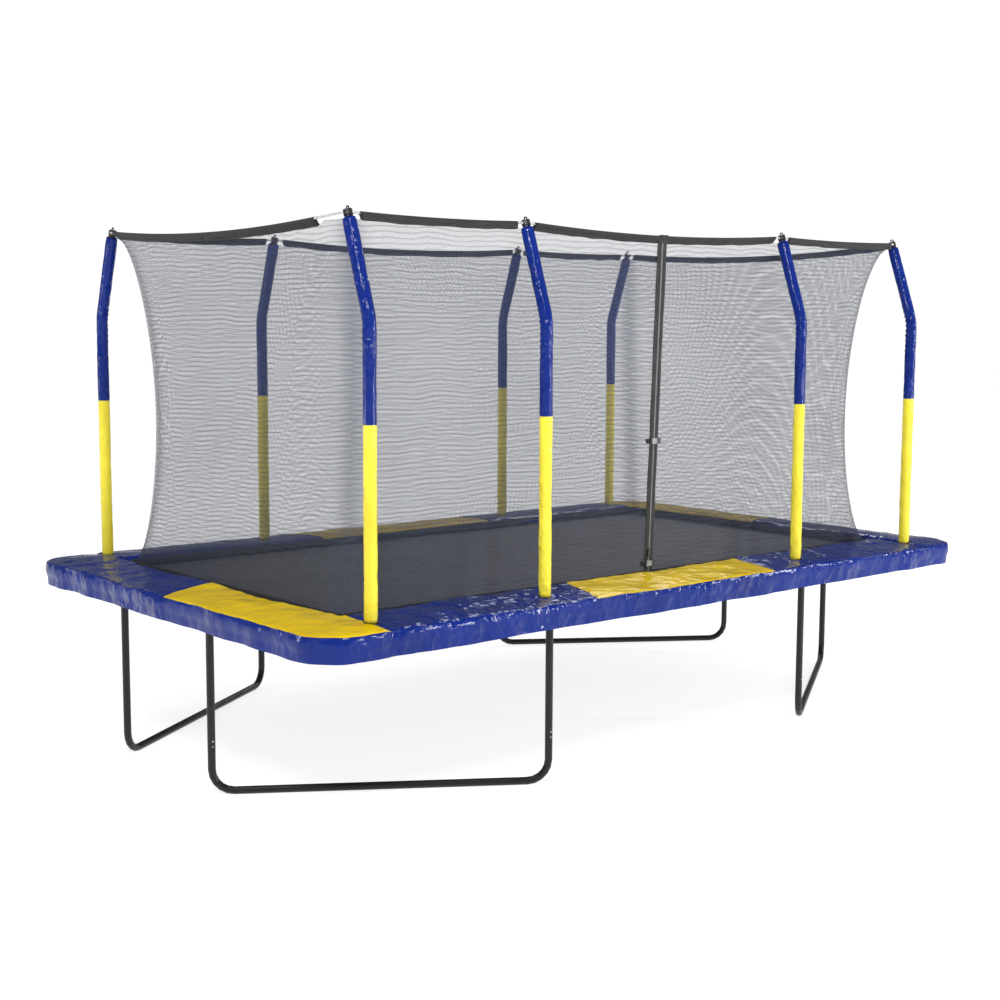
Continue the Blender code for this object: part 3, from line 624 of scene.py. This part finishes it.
def make_sleeve(name, x, sy, vinyls):
    """Foam tube in a two-coloured vinyl cover, yellow below and blue above."""
    line = pole_line(x, sy, SLEEVE_LOW.z + 0.001, SLEEVE_HIGH.z - 0.006)
    tangents = np.gradient(line, axis=0)
    count = len(line)
    verts = []
    for index, (centre, tangent) in enumerate(zip(line, tangents)):
        tangent = Vector(tangent).normalized()
        side = Vector((1, 0, 0))
        front = tangent.cross(side).normalized()
        for step in range(SLEEVE_AROUND):
            angle = 2 * pi * step / SLEEVE_AROUND
            gap = abs(centre[2] - SLEEVE_JOIN_Z)
            radius = sleeve_radius(min(index, count - 1 - index), centre[2], angle, x, sy, gap)
            verts.append(Vector(centre) + side * cos(angle) * radius + front * sin(angle) * radius)
    faces = grid_faces(count, SLEEVE_AROUND, False, True)
    middles = [(line[f // SLEEVE_AROUND][2] + line[f // SLEEVE_AROUND + 1][2]) / 2 for f in range(len(faces))]
    indices = [int(z < SLEEVE_JOIN_Z) for z in middles]
    for end, order in ((0, 1), (count - 1, -1)):
        centre = Vector(line[end])
        base = end * SLEEVE_AROUND
        start = len(verts)
        for step in range(SLEEVE_AROUND):
            verts.append(centre + (verts[base + step] - centre) * (TUBE_R + 0.0006) / SLEEVE_R)
        for step in range(SLEEVE_AROUND):
            after = (step + 1) % SLEEVE_AROUND
            quad = (base + step, start + step, start + after, base + after)
            faces.append(quad if order == 1 else tuple(reversed(quad)))
            indices.append(int(end == 0))
    sleeve = add_piece(f"sleeve_{name}", verts, faces, vinyls, indices)
    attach(sleeve, "frame")
    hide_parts(f"pole_sleeve_{name}")


def make_sleeves(vinyls):
    for sy, side in ((-1, "front"), (1, "back")):
        for place, x in zip(POLE_PLACES, POLE_XS):
            make_sleeve(f"{side}_{place}", x, sy, vinyls)


# ---------------------------------------------------------------- edge pads


def long_stations(sy, marks):
    """Outer and inner points along a long pad. marks are (outer x, inner x) of the ends and colour joins."""
    stations = []
    for mark, after in zip(marks, marks[1:]):
        count = max(1, round((after[0] - mark[0]) / STATION))
        for step in range(count):
            share = step / count
            outer = mark[0] + (after[0] - mark[0]) * share
            inner = mark[1] + (after[1] - mark[1]) * share
            stations.append(((outer, sy * PAD_Y), (inner, sy * PAD_INNER[1])))
    stations.append(((marks[-1][0], sy * PAD_Y), (marks[-1][1], sy * PAD_INNER[1])))
    return stations


def corner_points(half_x, half_y, radius, sy, steps):
    """A rounded corner on the +X side, from the long side to the short one for sy -1, and back for sy 1."""
    points = []
    for step in range(steps + 1):
        angle = pi / 2 * (1 - step / steps)
        points.append((half_x - radius + radius * cos(angle), sy * (half_y - radius + radius * sin(angle))))
    return points if sy < 0 else points[::-1]


def short_stations(sx, join):
    """Outer and inner points round a short pad, from the front slit to the back one. join is the colour join's y."""
    end_x = POLE_XS[3] + SLIT_GAP
    outer, inner = [], []
    run = PAD_X - PAD_CORNER_R - end_x
    steps = max(2, round(run / STATION))
    for step in range(steps):
        outer.append((end_x + run * step / steps, -PAD_Y))
        inner.append((end_x + 0.004 * step / steps, -PAD_INNER[1]))
    outer += corner_points(PAD_X, PAD_Y, PAD_CORNER_R, -1, 24)
    inner += corner_points(PAD_INNER[0], PAD_INNER[1], PAD_INNER_R * 0.1, -1, 24)
    reach_out, reach_in = PAD_Y - PAD_CORNER_R, PAD_INNER[1] - PAD_INNER_R * 0.1
    for low, high in (((-reach_out, -reach_in), join), (join, (reach_out, reach_in))):
        count = round((high[0] - low[0]) / STATION)
        for step in range(1, count + 1):
            share = step / count
            outer.append((PAD_X, low[0] + (high[0] - low[0]) * share))
            inner.append((PAD_INNER[0], low[1] + (high[1] - low[1]) * share))
    outer += corner_points(PAD_X, PAD_Y, PAD_CORNER_R, 1, 24)[1:]
    inner += corner_points(PAD_INNER[0], PAD_INNER[1], PAD_INNER_R * 0.1, 1, 24)[1:]
    for step in range(1, steps + 1):
        outer.append((PAD_X - PAD_CORNER_R - run * step / steps, PAD_Y))
        inner.append((end_x + 0.004 * (1 - step / steps), PAD_INNER[1]))
    return [((sx * a[0], a[1]), (sx * b[0], b[1])) for a, b in zip(outer, inner)]


TOP_POINTS = 26
SKIRT_POINTS = 12


def creased(place, scale, seed):
    """Height from 0 to 1 of a crumpled sheet at a place: slopes that meet in sharp ridges."""
    bend = 0.35 * noise.noise_vector(Vector(place) * scale * 0.6)
    distances, _ = noise.voronoi(Vector(place) * scale + bend + Vector((seed, 2 * seed, 0)))
    return min(1.0, distances[0])


def pad_ring(outer, inner, out, thin, groove, seed):
    """One cross-section of a pad: up the inner edge, over the top, down the skirt and back under the foam."""
    outer, inner = Vector((*outer, 0)), Vector((*inner, 0))
    slit_gap = ((abs(outer.x) - POLE_XS[3]) ** 2 + (abs(outer.y) - PAD_Y) ** 2) ** 0.5
    loose = 1 + 0.9 * np.exp(-slit_gap / 0.22)
    sway = 0.034 * smooth_noise((inner.x, inner.y, 0), (1.7, 1.7, 0), seed) * thin
    inner = inner - (outer - inner).normalized() * sway
    lift = 0.014 * smooth_noise((inner.x, inner.y, 0), (2.3, 2.3, 0), seed + 7) * thin
    ring = []
    for index in range(TOP_POINTS):
        share = (index / (TOP_POINTS - 1)) ** 1.15
        flat = inner.lerp(outer, share)
        top = PAD_INNER_TOP_Z + (PAD_OUTER_TOP_Z - PAD_INNER_TOP_Z) * share + max(0.0, lift) * (1 - share) ** 2
        rim = min(1.0, share * 9) ** 0.5
        puff = 0.0045 * sin(pi * share) + 0.004 * smooth_noise(flat, (3.2, 3.2, 0), seed)
        crease = 0.010 * creased(flat, 6.0, seed) * (1 - 0.5 * share) + 0.004 * creased(flat, 15.0, seed)
        seam = 0.004 if index == TOP_POINTS - 1 else 0.0
        z = PAD_BOTTOM_Z + 0.002 + (top + puff + crease - seam - PAD_BOTTOM_Z - 0.006) * rim
        ring.append(Vector((flat.x, flat.y, PAD_BOTTOM_Z + (z - PAD_BOTTOM_Z) * thin - groove)))
    ring[-1] -= out * 0.003
    skirt = []
    for index in range(SKIRT_POINTS):
        share = index / (SKIRT_POINTS - 1)
        z = PAD_OUTER_TOP_Z - 0.006 + (SKIRT_BOTTOM_Z - PAD_OUTER_TOP_Z + 0.006) * share
        place = (outer.x, outer.y, z)
        wave = 0.010 * share * smooth_noise(place, (4.5, 4.5, 2), SKIRT_SEED)
        tall = (outer.x, outer.y, 0.6 * z)
        fold = (0.016 * creased(tall, 6.0, SKIRT_SEED) + 0.003 * creased(tall, 17.0, SKIRT_SEED)) * loose
        bulge = 0.007 * sin(pi * min(1.0, share * 1.6))
        hem = 0.006 * smooth_noise(place, (3, 3, 0), SKIRT_SEED + 9) * share
        skirt.append((z + hem, wave - fold * (0.5 + 0.5 * share) + bulge + 0.004 * (1 - share)))
    for z, push in skirt:
        ring.append(outer + out * push + Vector((0, 0, z)))
    for z, push in reversed(skirt):
        ring.append(outer + out * (push - SKIRT_THICKNESS) + Vector((0, 0, min(z, PAD_BOTTOM_Z))))
    ring.append(inner + (outer - inner) * 0.85 + Vector((0, 0, PAD_BOTTOM_Z)))
    ring.append(inner + (outer - inner) * 0.03 + Vector((0, 0, PAD_BOTTOM_Z)))
    return ring


def make_pad(name, stations, yellow_spans, vinyls, seed):
    """A pad swept along its stations. yellow_spans are the ranges of stations whose top is yellow."""
    rings = []
    count = len(stations)
    joins = {edge for span in yellow_spans for edge in span}
    for index, (outer, inner) in enumerate(stations):
        before, after = stations[max(0, index - 1)][0], stations[min(count - 1, index + 1)][0]
        along = Vector((after[0] - before[0], after[1] - before[1], 0)).normalized()
        out = Vector((along.y, -along.x, 0))
        if out.dot(Vector((outer[0] - inner[0], outer[1] - inner[1], 0))) < 0:
            out = -out
        end = min(index, count - 1 - index)
        thin = (0.72, 0.9, 0.97)[end] if end < 3 else 1.0
        groove = 0.0035 if index in joins and 0 < index < count - 1 else 0.0
        rings.append(pad_ring(outer, inner, out, thin, groove, seed))
    around = len(rings[0])
    faces = grid_faces(count, around, False, True)
    indices = []
    for row in range(count - 1):
        yellow = any(low <= row < high for low, high in yellow_spans)
        for column in range(around):
            on_top = column < TOP_POINTS - 1 or column == around - 1
            indices.append(int(yellow and on_top))
    faces.append(tuple(reversed(range(around))))
    faces.append(tuple(range((count - 1) * around, count * around)))
    indices += [0, 0]
    verts = [tuple(point) for ring in rings for point in ring]
    pad = add_piece(f"{name}_cover", verts, faces, vinyls, indices)
    recalculate(pad)
    return pad


def recalculate(piece):
    """Turns every face outwards."""
    import bmesh

    edit = bmesh.new()
    edit.from_mesh(piece.data)
    bmesh.ops.recalc_face_normals(edit, faces=edit.faces)
    edit.to_mesh(piece.data)
    edit.free()


def hole_cutter():
    """Round holes where the poles come up through the pads."""
    import bmesh

    edit = bmesh.new()
    for x in POLE_XS:
        for sy in (-1, 1):
            mesh_round(edit, (x, sy * POLE_Y, PAD_OUTER_TOP_Z), 0.0345, 0.3)
    mesh = bpy.data.meshes.new("pole_holes")
    edit.to_mesh(mesh)
    edit.free()
    cutter = bpy.data.objects.new("pole_holes", mesh)
    bpy.context.scene.collection.objects.link(cutter)
    return cutter


def mesh_round(edit, centre, radius, depth):
    import bmesh

    bmesh.ops.create_cone(
        edit,
        cap_ends=True,
        segments=32,
        radius1=radius,
        radius2=radius,
        depth=depth,
        matrix=Matrix.Translation(centre),
    )


def apply_modifiers(piece):
    graph = bpy.context.evaluated_depsgraph_get()
    mesh = bpy.data.meshes.new_from_object(piece.evaluated_get(graph))
    piece.modifiers.clear()
    piece.data = mesh


def make_pads(vinyls):
    cutter = hole_cutter()
    end = POLE_XS[3] - SLIT_GAP
    pads = []
    for sy, name, marks, seed in (
        (-1, "pad_front", [(-end, -end), (-0.735, -0.62), (0.59, 0.66), (end, end)], 1.3),
        (1, "pad_back", [(-end, -end), (-0.69, -0.66), (0.68, 0.66), (end, end)], 7.7),
    ):
        stations = long_stations(sy, marks)
        xs = [outer[0] for outer, _ in stations]
        span = [int(np.argmin([abs(x - mark[0]) for x in xs])) for mark in marks[1:3]]
        pads.append((name, make_pad(name, stations, [tuple(span)], vinyls, seed)))
    for sx, name, seed in ((-1, "pad_left", 12.1), (1, "pad_right", 17.9)):
        join = (-0.05, 0.06) if sx < 0 else (0.05, -0.06)
        stations = short_stations(sx, join)
        ys = [outer[1] for outer, _ in stations]
        at = int(np.argmin([abs(y - join[0]) for y in ys]))
        span = (0, at) if sx < 0 else (at, len(stations))
        pads.append((name, make_pad(name, stations, [span], vinyls, seed)))
    for name, pad in pads:
        cut = pad.modifiers.new("pole_holes", "BOOLEAN")
        cut.operation = "DIFFERENCE"
        cut.object = cutter
        cut.solver = "EXACT"
        apply_modifiers(pad)
        pad.data.shade_smooth()
        pad.data.set_sharp_from_angle(angle=radians(50))
        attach(pad, "frame")
        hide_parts(name)
    bpy.data.objects.remove(cutter, do_unlink=True)


# ---------------------------------------------------------------- bed


def rounded_outline(half_x, half_y, radius, steps=6):
    points = []
    for quarter, (sx, sy) in enumerate(((1, 1), (-1, 1), (-1, -1), (1, -1))):
        for step in range(steps + 1):
            angle = pi / 2 * (quarter + step / steps)
            x = sx * (half_x - radius) + radius * cos(angle)
            points.append((x, sy * (half_y - radius) + radius * sin(angle)))
    return points


def make_mat(cloth, tape):
    """The mat as one sheet, with a sewn border of webbing laid on it."""
    half_x, half_y = MAT_HIGH.x, MAT_HIGH.y
    columns, rows = 96, 56
    verts = []
    for row in range(rows + 1):
        for column in range(columns + 1):
            x = half_x * (2 * column / columns - 1)
            y = half_y * (2 * row / rows - 1)
            dip = (1 - (x / half_x) ** 2) * (1 - (y / half_y) ** 2)
            slack = 0.0015 * smooth_noise((x, y, 0), (1.2, 1.2, 0), 6.0)
            verts.append((x, y, MAT_HIGH.z - 0.0012 - 0.004 * dip + slack * dip))
    mat = add_piece("mat_cloth", verts, grid_faces(rows + 1, columns + 1), [cloth])
    border = []
    bottom, top = MAT_HIGH.z - 0.0035, MAT_HIGH.z + 0.0006
    for x, y in rounded_outline(half_x, half_y, 0.05):
        inner_x, inner_y = x * (1 - 0.050 / half_x), y * (1 - 0.050 / half_y)
        border.append([(x, y, bottom), (inner_x, inner_y, bottom), (inner_x, inner_y, top), (x, y, top)])
    band = loft("mat_border", border, tape, closed_path=True, smooth=False)
    for piece in (mat, band):
        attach(piece, "mat")
    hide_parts("mat")


SPRING_PITCH = 0.132
SPRING_TURNS = 22
SPRING_WIRE_R = 0.0016
SPRING_COIL_R = 0.0080


def spring_mesh(length):
    """One extension spring along +X from the mat: a close coil with a hooked end each way."""
    line = []
    coil_start, coil_end = 0.020, length - 0.024
    line.append((0, 0, 0))
    line.append((0.008, 0, 0.002))
    points_a_turn = 7
    for step in range(SPRING_TURNS * points_a_turn + 1):
        share = step / (SPRING_TURNS * points_a_turn)
        angle = 2 * pi * share * SPRING_TURNS
        x = coil_start + (coil_end - coil_start) * share
        line.append((x, SPRING_COIL_R * sin(angle), SPRING_COIL_R * cos(angle)))
    line.append((length - 0.010, 0, 0.002))
    line.append((length, 0, -0.004))
    line = np.array(line)
    tangents = np.gradient(line, axis=0)
    rings = []
    for centre, tangent in zip(line, tangents):
        tangent = Vector(tangent).normalized()
        side = tangent.cross(Vector((0, 0.3, 1))).normalized()
        front = tangent.cross(side)
        rings.append(
            [Vector(centre) + (side * cos(a) + front * sin(a)) * SPRING_WIRE_R for a in (0, pi / 2, pi, 3 * pi / 2)]
        )
    verts = [tuple(v) for ring in rings for v in ring]
    faces = grid_faces(len(rings), 4, False, True)
    return verts, faces


def make_springs(metal):
    z = MAT_HIGH.z - 0.0015
    for side in ("front", "right", "back", "left"):
        long_side = side in ("front", "back")
        half = 16 if long_side else 8
        mat_edge = MAT_HIGH.y if long_side else MAT_HIGH.x
        rail_edge = (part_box("springs")[1].y if long_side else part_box("springs")[1].x) - 0.001
        one, one_faces = spring_mesh(rail_edge - mat_edge - 0.003)
        turn = Matrix.Rotation(side_turn(side) - pi / 2, 4, "Z")
        verts, faces = [], []
        for index in range(-half, half):
            place = Matrix.Translation((mat_edge + 0.003, (index + 0.5) * SPRING_PITCH, z))
            base = len(verts)
            verts.extend(tuple(turn @ place @ Vector(v)) for v in one)
            faces.extend(tuple(base + v for v in face) for face in one_faces)
        springs = add_piece(f"coil_springs_{side}", verts, faces, [metal])
        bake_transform(springs)
        if side == "front":
            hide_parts("springs")


# ---------------------------------------------------------------- door


def door_y(z):
    top = ring_height(0, -NET_TOP[1]) - ROD_R - 0.0025
    height = (z - 0.879) / (top - 0.879)
    return net_section(height)[1]


def make_collars(tape):
    """Black elastic round each pole where it comes up through the pad, and at the middle poles the bound slit that
    leads to it.
    """
    for sy, side in ((-1, "front"), (1, "back")):
        for place, x in zip(POLE_PLACES, POLE_XS):
            rings = []
            for step in range(28):
                angle = 2 * pi * step / 28
                direction = Vector((cos(angle), sin(angle), 0))
                wave = 0.0012 * sin(5 * angle + 4 * x)
                centre = Vector((x, sy * POLE_Y, PAD_OUTER_TOP_Z + 0.0035 + wave))
                low, high = Vector((0, 0, -0.006)), Vector((0, 0, 0.0022))
                inner, outer = direction * (SLEEVE_R + 0.0032), direction * (0.0445 + wave)
                rings.append([centre + inner + high * 1.6, centre + outer + high, centre + outer + low, centre + inner + low])
            collar = loft(f"pole_collar_{side}_{place}", rings, tape, closed_path=True)
            pieces = [collar]
            if place.startswith("mid"):
                strip = []
                for step in range(8):
                    along = 0.043 + 0.075 * step / 7
                    lift = 0.0016 + 0.0010 * sin(step)
                    centre = Vector((x + 0.001 * sin(2 * step), sy * (POLE_Y + along), PAD_OUTER_TOP_Z + 0.004 + lift))
                    half, thick = Vector((0.006, 0, 0)), Vector((0, 0, -0.006))
                    strip.append([centre - half, centre + half, centre + half + thick, centre - half + thick])
                pieces.append(loft(f"pole_slit_{side}_{place}", strip, tape))
            for piece in pieces:
                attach(piece, "frame")


def make_zip(tape, plastic):
    """Tape with two rows of teeth, running from the mat up over the ring's tunnel."""
    low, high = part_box("zip_tape")
    half = (high.x - low.x) / 2
    stand = 0.0068
    rows = 110
    verts, uvs = [], []
    columns = 12
    for row in range(rows + 1):
        share = row / rows
        z = low.z + 0.001 + (high.z + 0.035 - low.z) * share
        width = half * (0.94 + 0.14 * share) + 0.0014 * smooth_noise((0, 0, z), (1, 1, 9), 4.0)
        for column in range(columns + 1):
            across = 2 * column / columns - 1
            fold = 0.0022 * smooth_noise((across * 0.3, 0, z), (8, 1, 7), 11.0)
            over = 0.010 * max(0.0, (z - high.z + 0.02) / 0.05)
            x = width * across + 0.002 * smooth_noise((0, 0, z), (1, 1, 4), 2.0)
            verts.append((x, -door_y(z) - stand - fold - over, z))
            uvs.append((x, z))
    cloth = add_piece("zip_tape_cloth", verts, grid_faces(rows + 1, columns + 1), [tape], uvs=uvs)
    shell = cloth.modifiers.new("thickness", "SOLIDIFY")
    shell.thickness = 0.0016
    shell.offset = 0.0
    apply_modifiers(cloth)
    teeth, faces = [], []
    pitch, count = 0.0048, 0
    z = low.z + 0.02
    while z < high.z + 0.02:
        side = 1 if count % 2 else -1
        x, y = side * 0.0016, -door_y(z) - stand - 0.0022
        base = len(teeth)
        for dz in (-0.0016, 0.0016):
            teeth.extend([(x - 0.0035, y + 0.001, z + dz), (x + 0.0035, y + 0.001, z + dz)])
            teeth.extend([(x + 0.0030, y - 0.0016, z + dz), (x - 0.0030, y - 0.0016, z + dz)])
        box = ((0, 1, 2, 3), (7, 6, 5, 4), (0, 4, 5, 1), (1, 5, 6, 2), (2, 6, 7, 3), (3, 7, 4, 0))
        faces.extend(tuple(base + v for v in face) for face in box)
        z += pitch
        count += 1
    chain = add_piece("zip_teeth", teeth, faces, [plastic], smooth=False)
    for piece in (cloth, chain):
        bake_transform(piece)
    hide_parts("zip_tape")


def make_strap(name, points, width, material, bodies):
    """A strip of webbing through points in plan, at the height of its buckle."""
    line = resampled(points, 0.006)
    tangents = np.gradient(line, axis=0)
    half = 0.0008
    rings = []
    for centre, tangent in zip(line, tangents):
        tangent = Vector(tangent).normalized()
        up = Vector((0, 0, 1))
        out = tangent.cross(up).normalized()
        centre = Vector(centre)
        rings.append(
            [
                tuple(centre + up * a * width / 2 + out * b * half)
                for a, b in ((-1, -1), (-0.9, -1.5), (0.9, -1.5), (1, -1), (1, 1), (0.9, 1.5), (-0.9, 1.5), (-1, 1))
            ]
        )
    strap = loft(name, rings, material)
    if len(bodies) == 1:
        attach(strap, bodies[0])
    else:
        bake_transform(strap)


def make_straps(tape):
    """The webbing that holds each buckle half across the zip."""
    for place in ("lower", "upper"):
        low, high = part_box(f"buckle_{place}_socket")
        plug_low, plug_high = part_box(f"buckle_{place}_plug")
        z = (low.z + high.z) / 2
        y = (low.y + high.y) / 2
        net_y = -door_y(z) - 0.004
        left = [(-0.056, net_y, z), (-0.046, net_y - 0.0045, z), (low.x - 0.007, y, z), (low.x - 0.0005, y, z)]
        right = [(0.056, net_y, z), (0.046, net_y - 0.0045, z), (plug_high.x + 0.007, y, z)]
        right.append((plug_high.x + 0.0005, y, z))
        make_strap(f"strap_{place}_left", left, 0.025, tape, ["frame"])
        make_strap(f"strap_{place}_right", right, 0.025, tape, ["frame", f"{place}_plug"])


# ---------------------------------------------------------------- small hardware


def make_screws(metal):
    """Pan-head screws, two at each leg joint, one above the other on the tube's outer face."""
    import bmesh

    joint_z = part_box("leg_upright_front_left_long")[0].z
    for sy, front in ((-1, "front"), (1, "back")):
        for sx, left in ((-1, "left"), (1, "right")):
            edit = bmesh.new()
            for place in ("long", "short"):
                low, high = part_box(f"leg_upright_{front}_{left}_{place}")
                centre = (low + high) / 2
                for rise in (0.022, 0.048):
                    add_screw(edit, centre.x, centre.y, joint_z + rise, sx, sy)
            mesh = bpy.data.meshes.new("screws")
            edit.to_mesh(mesh)
            edit.free()
            mesh.materials.append(metal)
            mesh.shade_smooth()
            mesh.set_sharp_from_angle(angle=radians(40))
            screws = bpy.data.objects.new(f"leg_screws_{front}_{left}", mesh)
            bpy.context.scene.collection.objects.link(screws)
            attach(screws, "frame")


def add_screw(edit, x, y, z, sx, sy):
    """A domed head with a round recess, facing away from the bed's middle."""
    import bmesh

    out = Vector((sx * 0.2, sy, 0)).normalized()
    lie = out.to_track_quat("Z", "Y").to_matrix().to_4x4()
    place = Matrix.Translation(Vector((x, y, z)) + out * (TUBE_R - 0.0006)) @ lie
    profile = [(0.0045, 0.0), (0.0045, 0.0012), (0.0038, 0.0024), (0.0022, 0.0031), (0.0018, 0.0016)]
    rings = []
    for radius, rise in profile:
        ring = [
            edit.verts.new(place @ Vector((radius * cos(2 * pi * k / 12), radius * sin(2 * pi * k / 12), rise)))
            for k in range(12)
        ]
        rings.append(ring)
    for lower, upper in zip(rings, rings[1:]):
        for k in range(12):
            edit.faces.new((lower[k], lower[(k + 1) % 12], upper[(k + 1) % 12], upper[k]))
    edit.faces.new(list(reversed(rings[0])))
    edit.faces.new(rings[-1])


def paint_frame(steel, rod, plastic, grey_plastic, metal):
    """Better materials for the CAD nodes that stay in view."""
    for name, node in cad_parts.items():
        if name.startswith(("frame_", "leg_", "pole_front", "pole_back")):
            spec = steel
        elif name.startswith("pole_cap") or name.endswith("_plug"):
            spec = plastic
        elif name.endswith("_socket"):
            spec = grey_plastic
        elif name == "ring_rod":
            spec = rod
        elif name == "zip_slider":
            spec = plastic
        else:
            spec = metal
        for material_slot in node.material_slots:
            material_slot.material = spec


# ---------------------------------------------------------------- stage, light, camera


def make_stage():
    """A wide pale floor, level with the feet."""
    reach = 80.0
    ring = [(reach * cos(2 * pi * k / 64), reach * sin(2 * pi * k / 64), -0.0005) for k in range(64)]
    n = Nodes("floor", (0.50, 0.50, 0.50), 0.9)
    n.put(n.mix(n.noise(0.4, 3), (0.495, 0.495, 0.495), (0.505, 0.505, 0.505)), "Base Color")
    n.set(Specular_IOR_Level=0.0, Emission_Color=(1, 1, 1, 1), Emission_Strength=0.78)
    floor = add_piece("floor", ring, [tuple(range(64))], [n.material], smooth=False)


def make_world():
    """White surroundings that light the object less from overhead, and dimmer still in its reflections."""
    world = bpy.data.worlds.new("studio")
    bpy.context.scene.world = world
    world.use_nodes = True
    tree = world.node_tree
    back = tree.nodes["Background"]
    where = tree.nodes.new("ShaderNodeTexCoord")
    split = tree.nodes.new("ShaderNodeSeparateXYZ")
    fade = tree.nodes.new("ShaderNodeMapRange")
    for socket, value in (("From Min", 0.0), ("From Max", 0.9), ("To Min", 0.66), ("To Max", 0.42)):
        fade.inputs[socket].default_value = value
    seen = tree.nodes.new("ShaderNodeLightPath")
    dim = tree.nodes.new("ShaderNodeMapRange")
    dim.inputs["To Min"].default_value = 1.0
    dim.inputs["To Max"].default_value = 0.35
    lit = tree.nodes.new("ShaderNodeMath")
    lit.operation = "MULTIPLY"
    choose = tree.nodes.new("ShaderNodeMapRange")
    choose.inputs["To Max"].default_value = 1.02
    tree.links.new(where.outputs["Generated"], split.inputs[0])
    tree.links.new(split.outputs["Z"], fade.inputs["Value"])
    tree.links.new(seen.outputs["Is Glossy Ray"], dim.inputs["Value"])
    tree.links.new(fade.outputs["Result"], lit.inputs[0])
    tree.links.new(dim.outputs["Result"], lit.inputs[1])
    tree.links.new(seen.outputs["Is Camera Ray"], choose.inputs["Value"])
    tree.links.new(lit.outputs[0], choose.inputs["To Min"])
    tree.links.new(choose.outputs["Result"], back.inputs["Strength"])
    back.inputs["Color"].default_value = (1, 1, 1, 1)


def area_light(name, place, target, size, power, colour=(1, 1, 1)):
    data = bpy.data.lights.new(name, "AREA")
    data.shape = "RECTANGLE"
    data.size, data.size_y = size
    data.energy = power
    data.color = colour
    light = bpy.data.objects.new(name, data)
    light.location = place
    light.rotation_euler = (Vector(target) - Vector(place)).to_track_quat("-Z", "Y").to_euler()
    bpy.context.scene.collection.objects.link(light)


def make_lights():
    area_light("key", (-5.5, -5.0, 6.5), (0, 0, 0.9), (1.8, 1.8), 360)
    area_light("rim", (5.5, 4.0, 5.5), (0, 0, 1.2), (2.0, 3.0), 120)
    area_light("side", (7.0, -6.5, 3.0), (0.5, 0, 0.9), (0.5, 3.0), 270)
    area_light("low_side", (3.4, -8.6, 1.3), (-1.6, -1.4, 0.9), (0.8, 0.8), 190)
    area_light("low_left", (-8.0, 3.5, 1.2), (-2.3, 0, 0.9), (0.8, 1.2), 60)


def make_camera():
    """The viewpoint of the picture: eye level, from beyond the front left corner."""
    data = bpy.data.cameras.new("camera")
    data.sensor_width = 36.0
    data.lens = 55.43
    data.clip_start, data.clip_end = 0.1, 300.0
    camera = bpy.data.objects.new("camera", data)
    yaw, pitch, roll = 0.7054, 0.1155, 0.0045
    ahead = Vector((sin(yaw) * cos(pitch), cos(yaw) * cos(pitch), -sin(pitch)))
    level = Vector((cos(yaw), -sin(yaw), 0))
    above = level.cross(ahead)
    right = level * cos(roll) + above * sin(roll)
    up = above * cos(roll) - level * sin(roll)
    camera.matrix_world = Matrix.Translation((-5.882, -6.729, 2.243)) @ Matrix(
        (
            (right.x, up.x, -ahead.x, 0),
            (right.y, up.y, -ahead.y, 0),
            (right.z, up.z, -ahead.z, 0),
            (0, 0, 0, 1),
        )
    )
    bpy.context.scene.collection.objects.link(camera)
    bpy.context.scene.camera = camera


def main():
    bpy.context.scene.view_settings.view_transform = "Standard"
    make_camera()
    make_world()
    make_lights()
    make_stage()
    blue = vinyl("blue_vinyl_cloth", BLUE, 7.5, 0.022, 0.17)
    yellow = vinyl("yellow_vinyl_cloth", YELLOW, 6.5, 0.011, 0.07)
    sleeve_yellow = vinyl("sleeve_vinyl_cloth", LEMON, 19.0, 0.0085, 0.12)
    sleeve_blue = vinyl("sleeve_blue_cloth", BLUE, 19.0, 0.0110, 0.18)
    steel, metal = coated_steel(), zinc_steel()
    plastic = moulded_plastic("black_moulding", (0.014, 0.014, 0.015))
    grey_plastic = moulded_plastic("grey_moulding", (0.21, 0.21, 0.215))
    tape = webbing("black_tape", (0.019, 0.019, 0.021))
    paint_frame(steel, rod_material(), plastic, grey_plastic, metal)
    make_net(net_material("net_threads", 0.215), tape)
    make_sleeves([sleeve_blue, sleeve_yellow])
    make_pads([blue, yellow])
    make_collars(tape)
    make_mat(woven_mat(), tape)
    make_springs(metal)
    make_zip(tape, grey_plastic)
    make_straps(tape)
    make_screws(metal)


main()
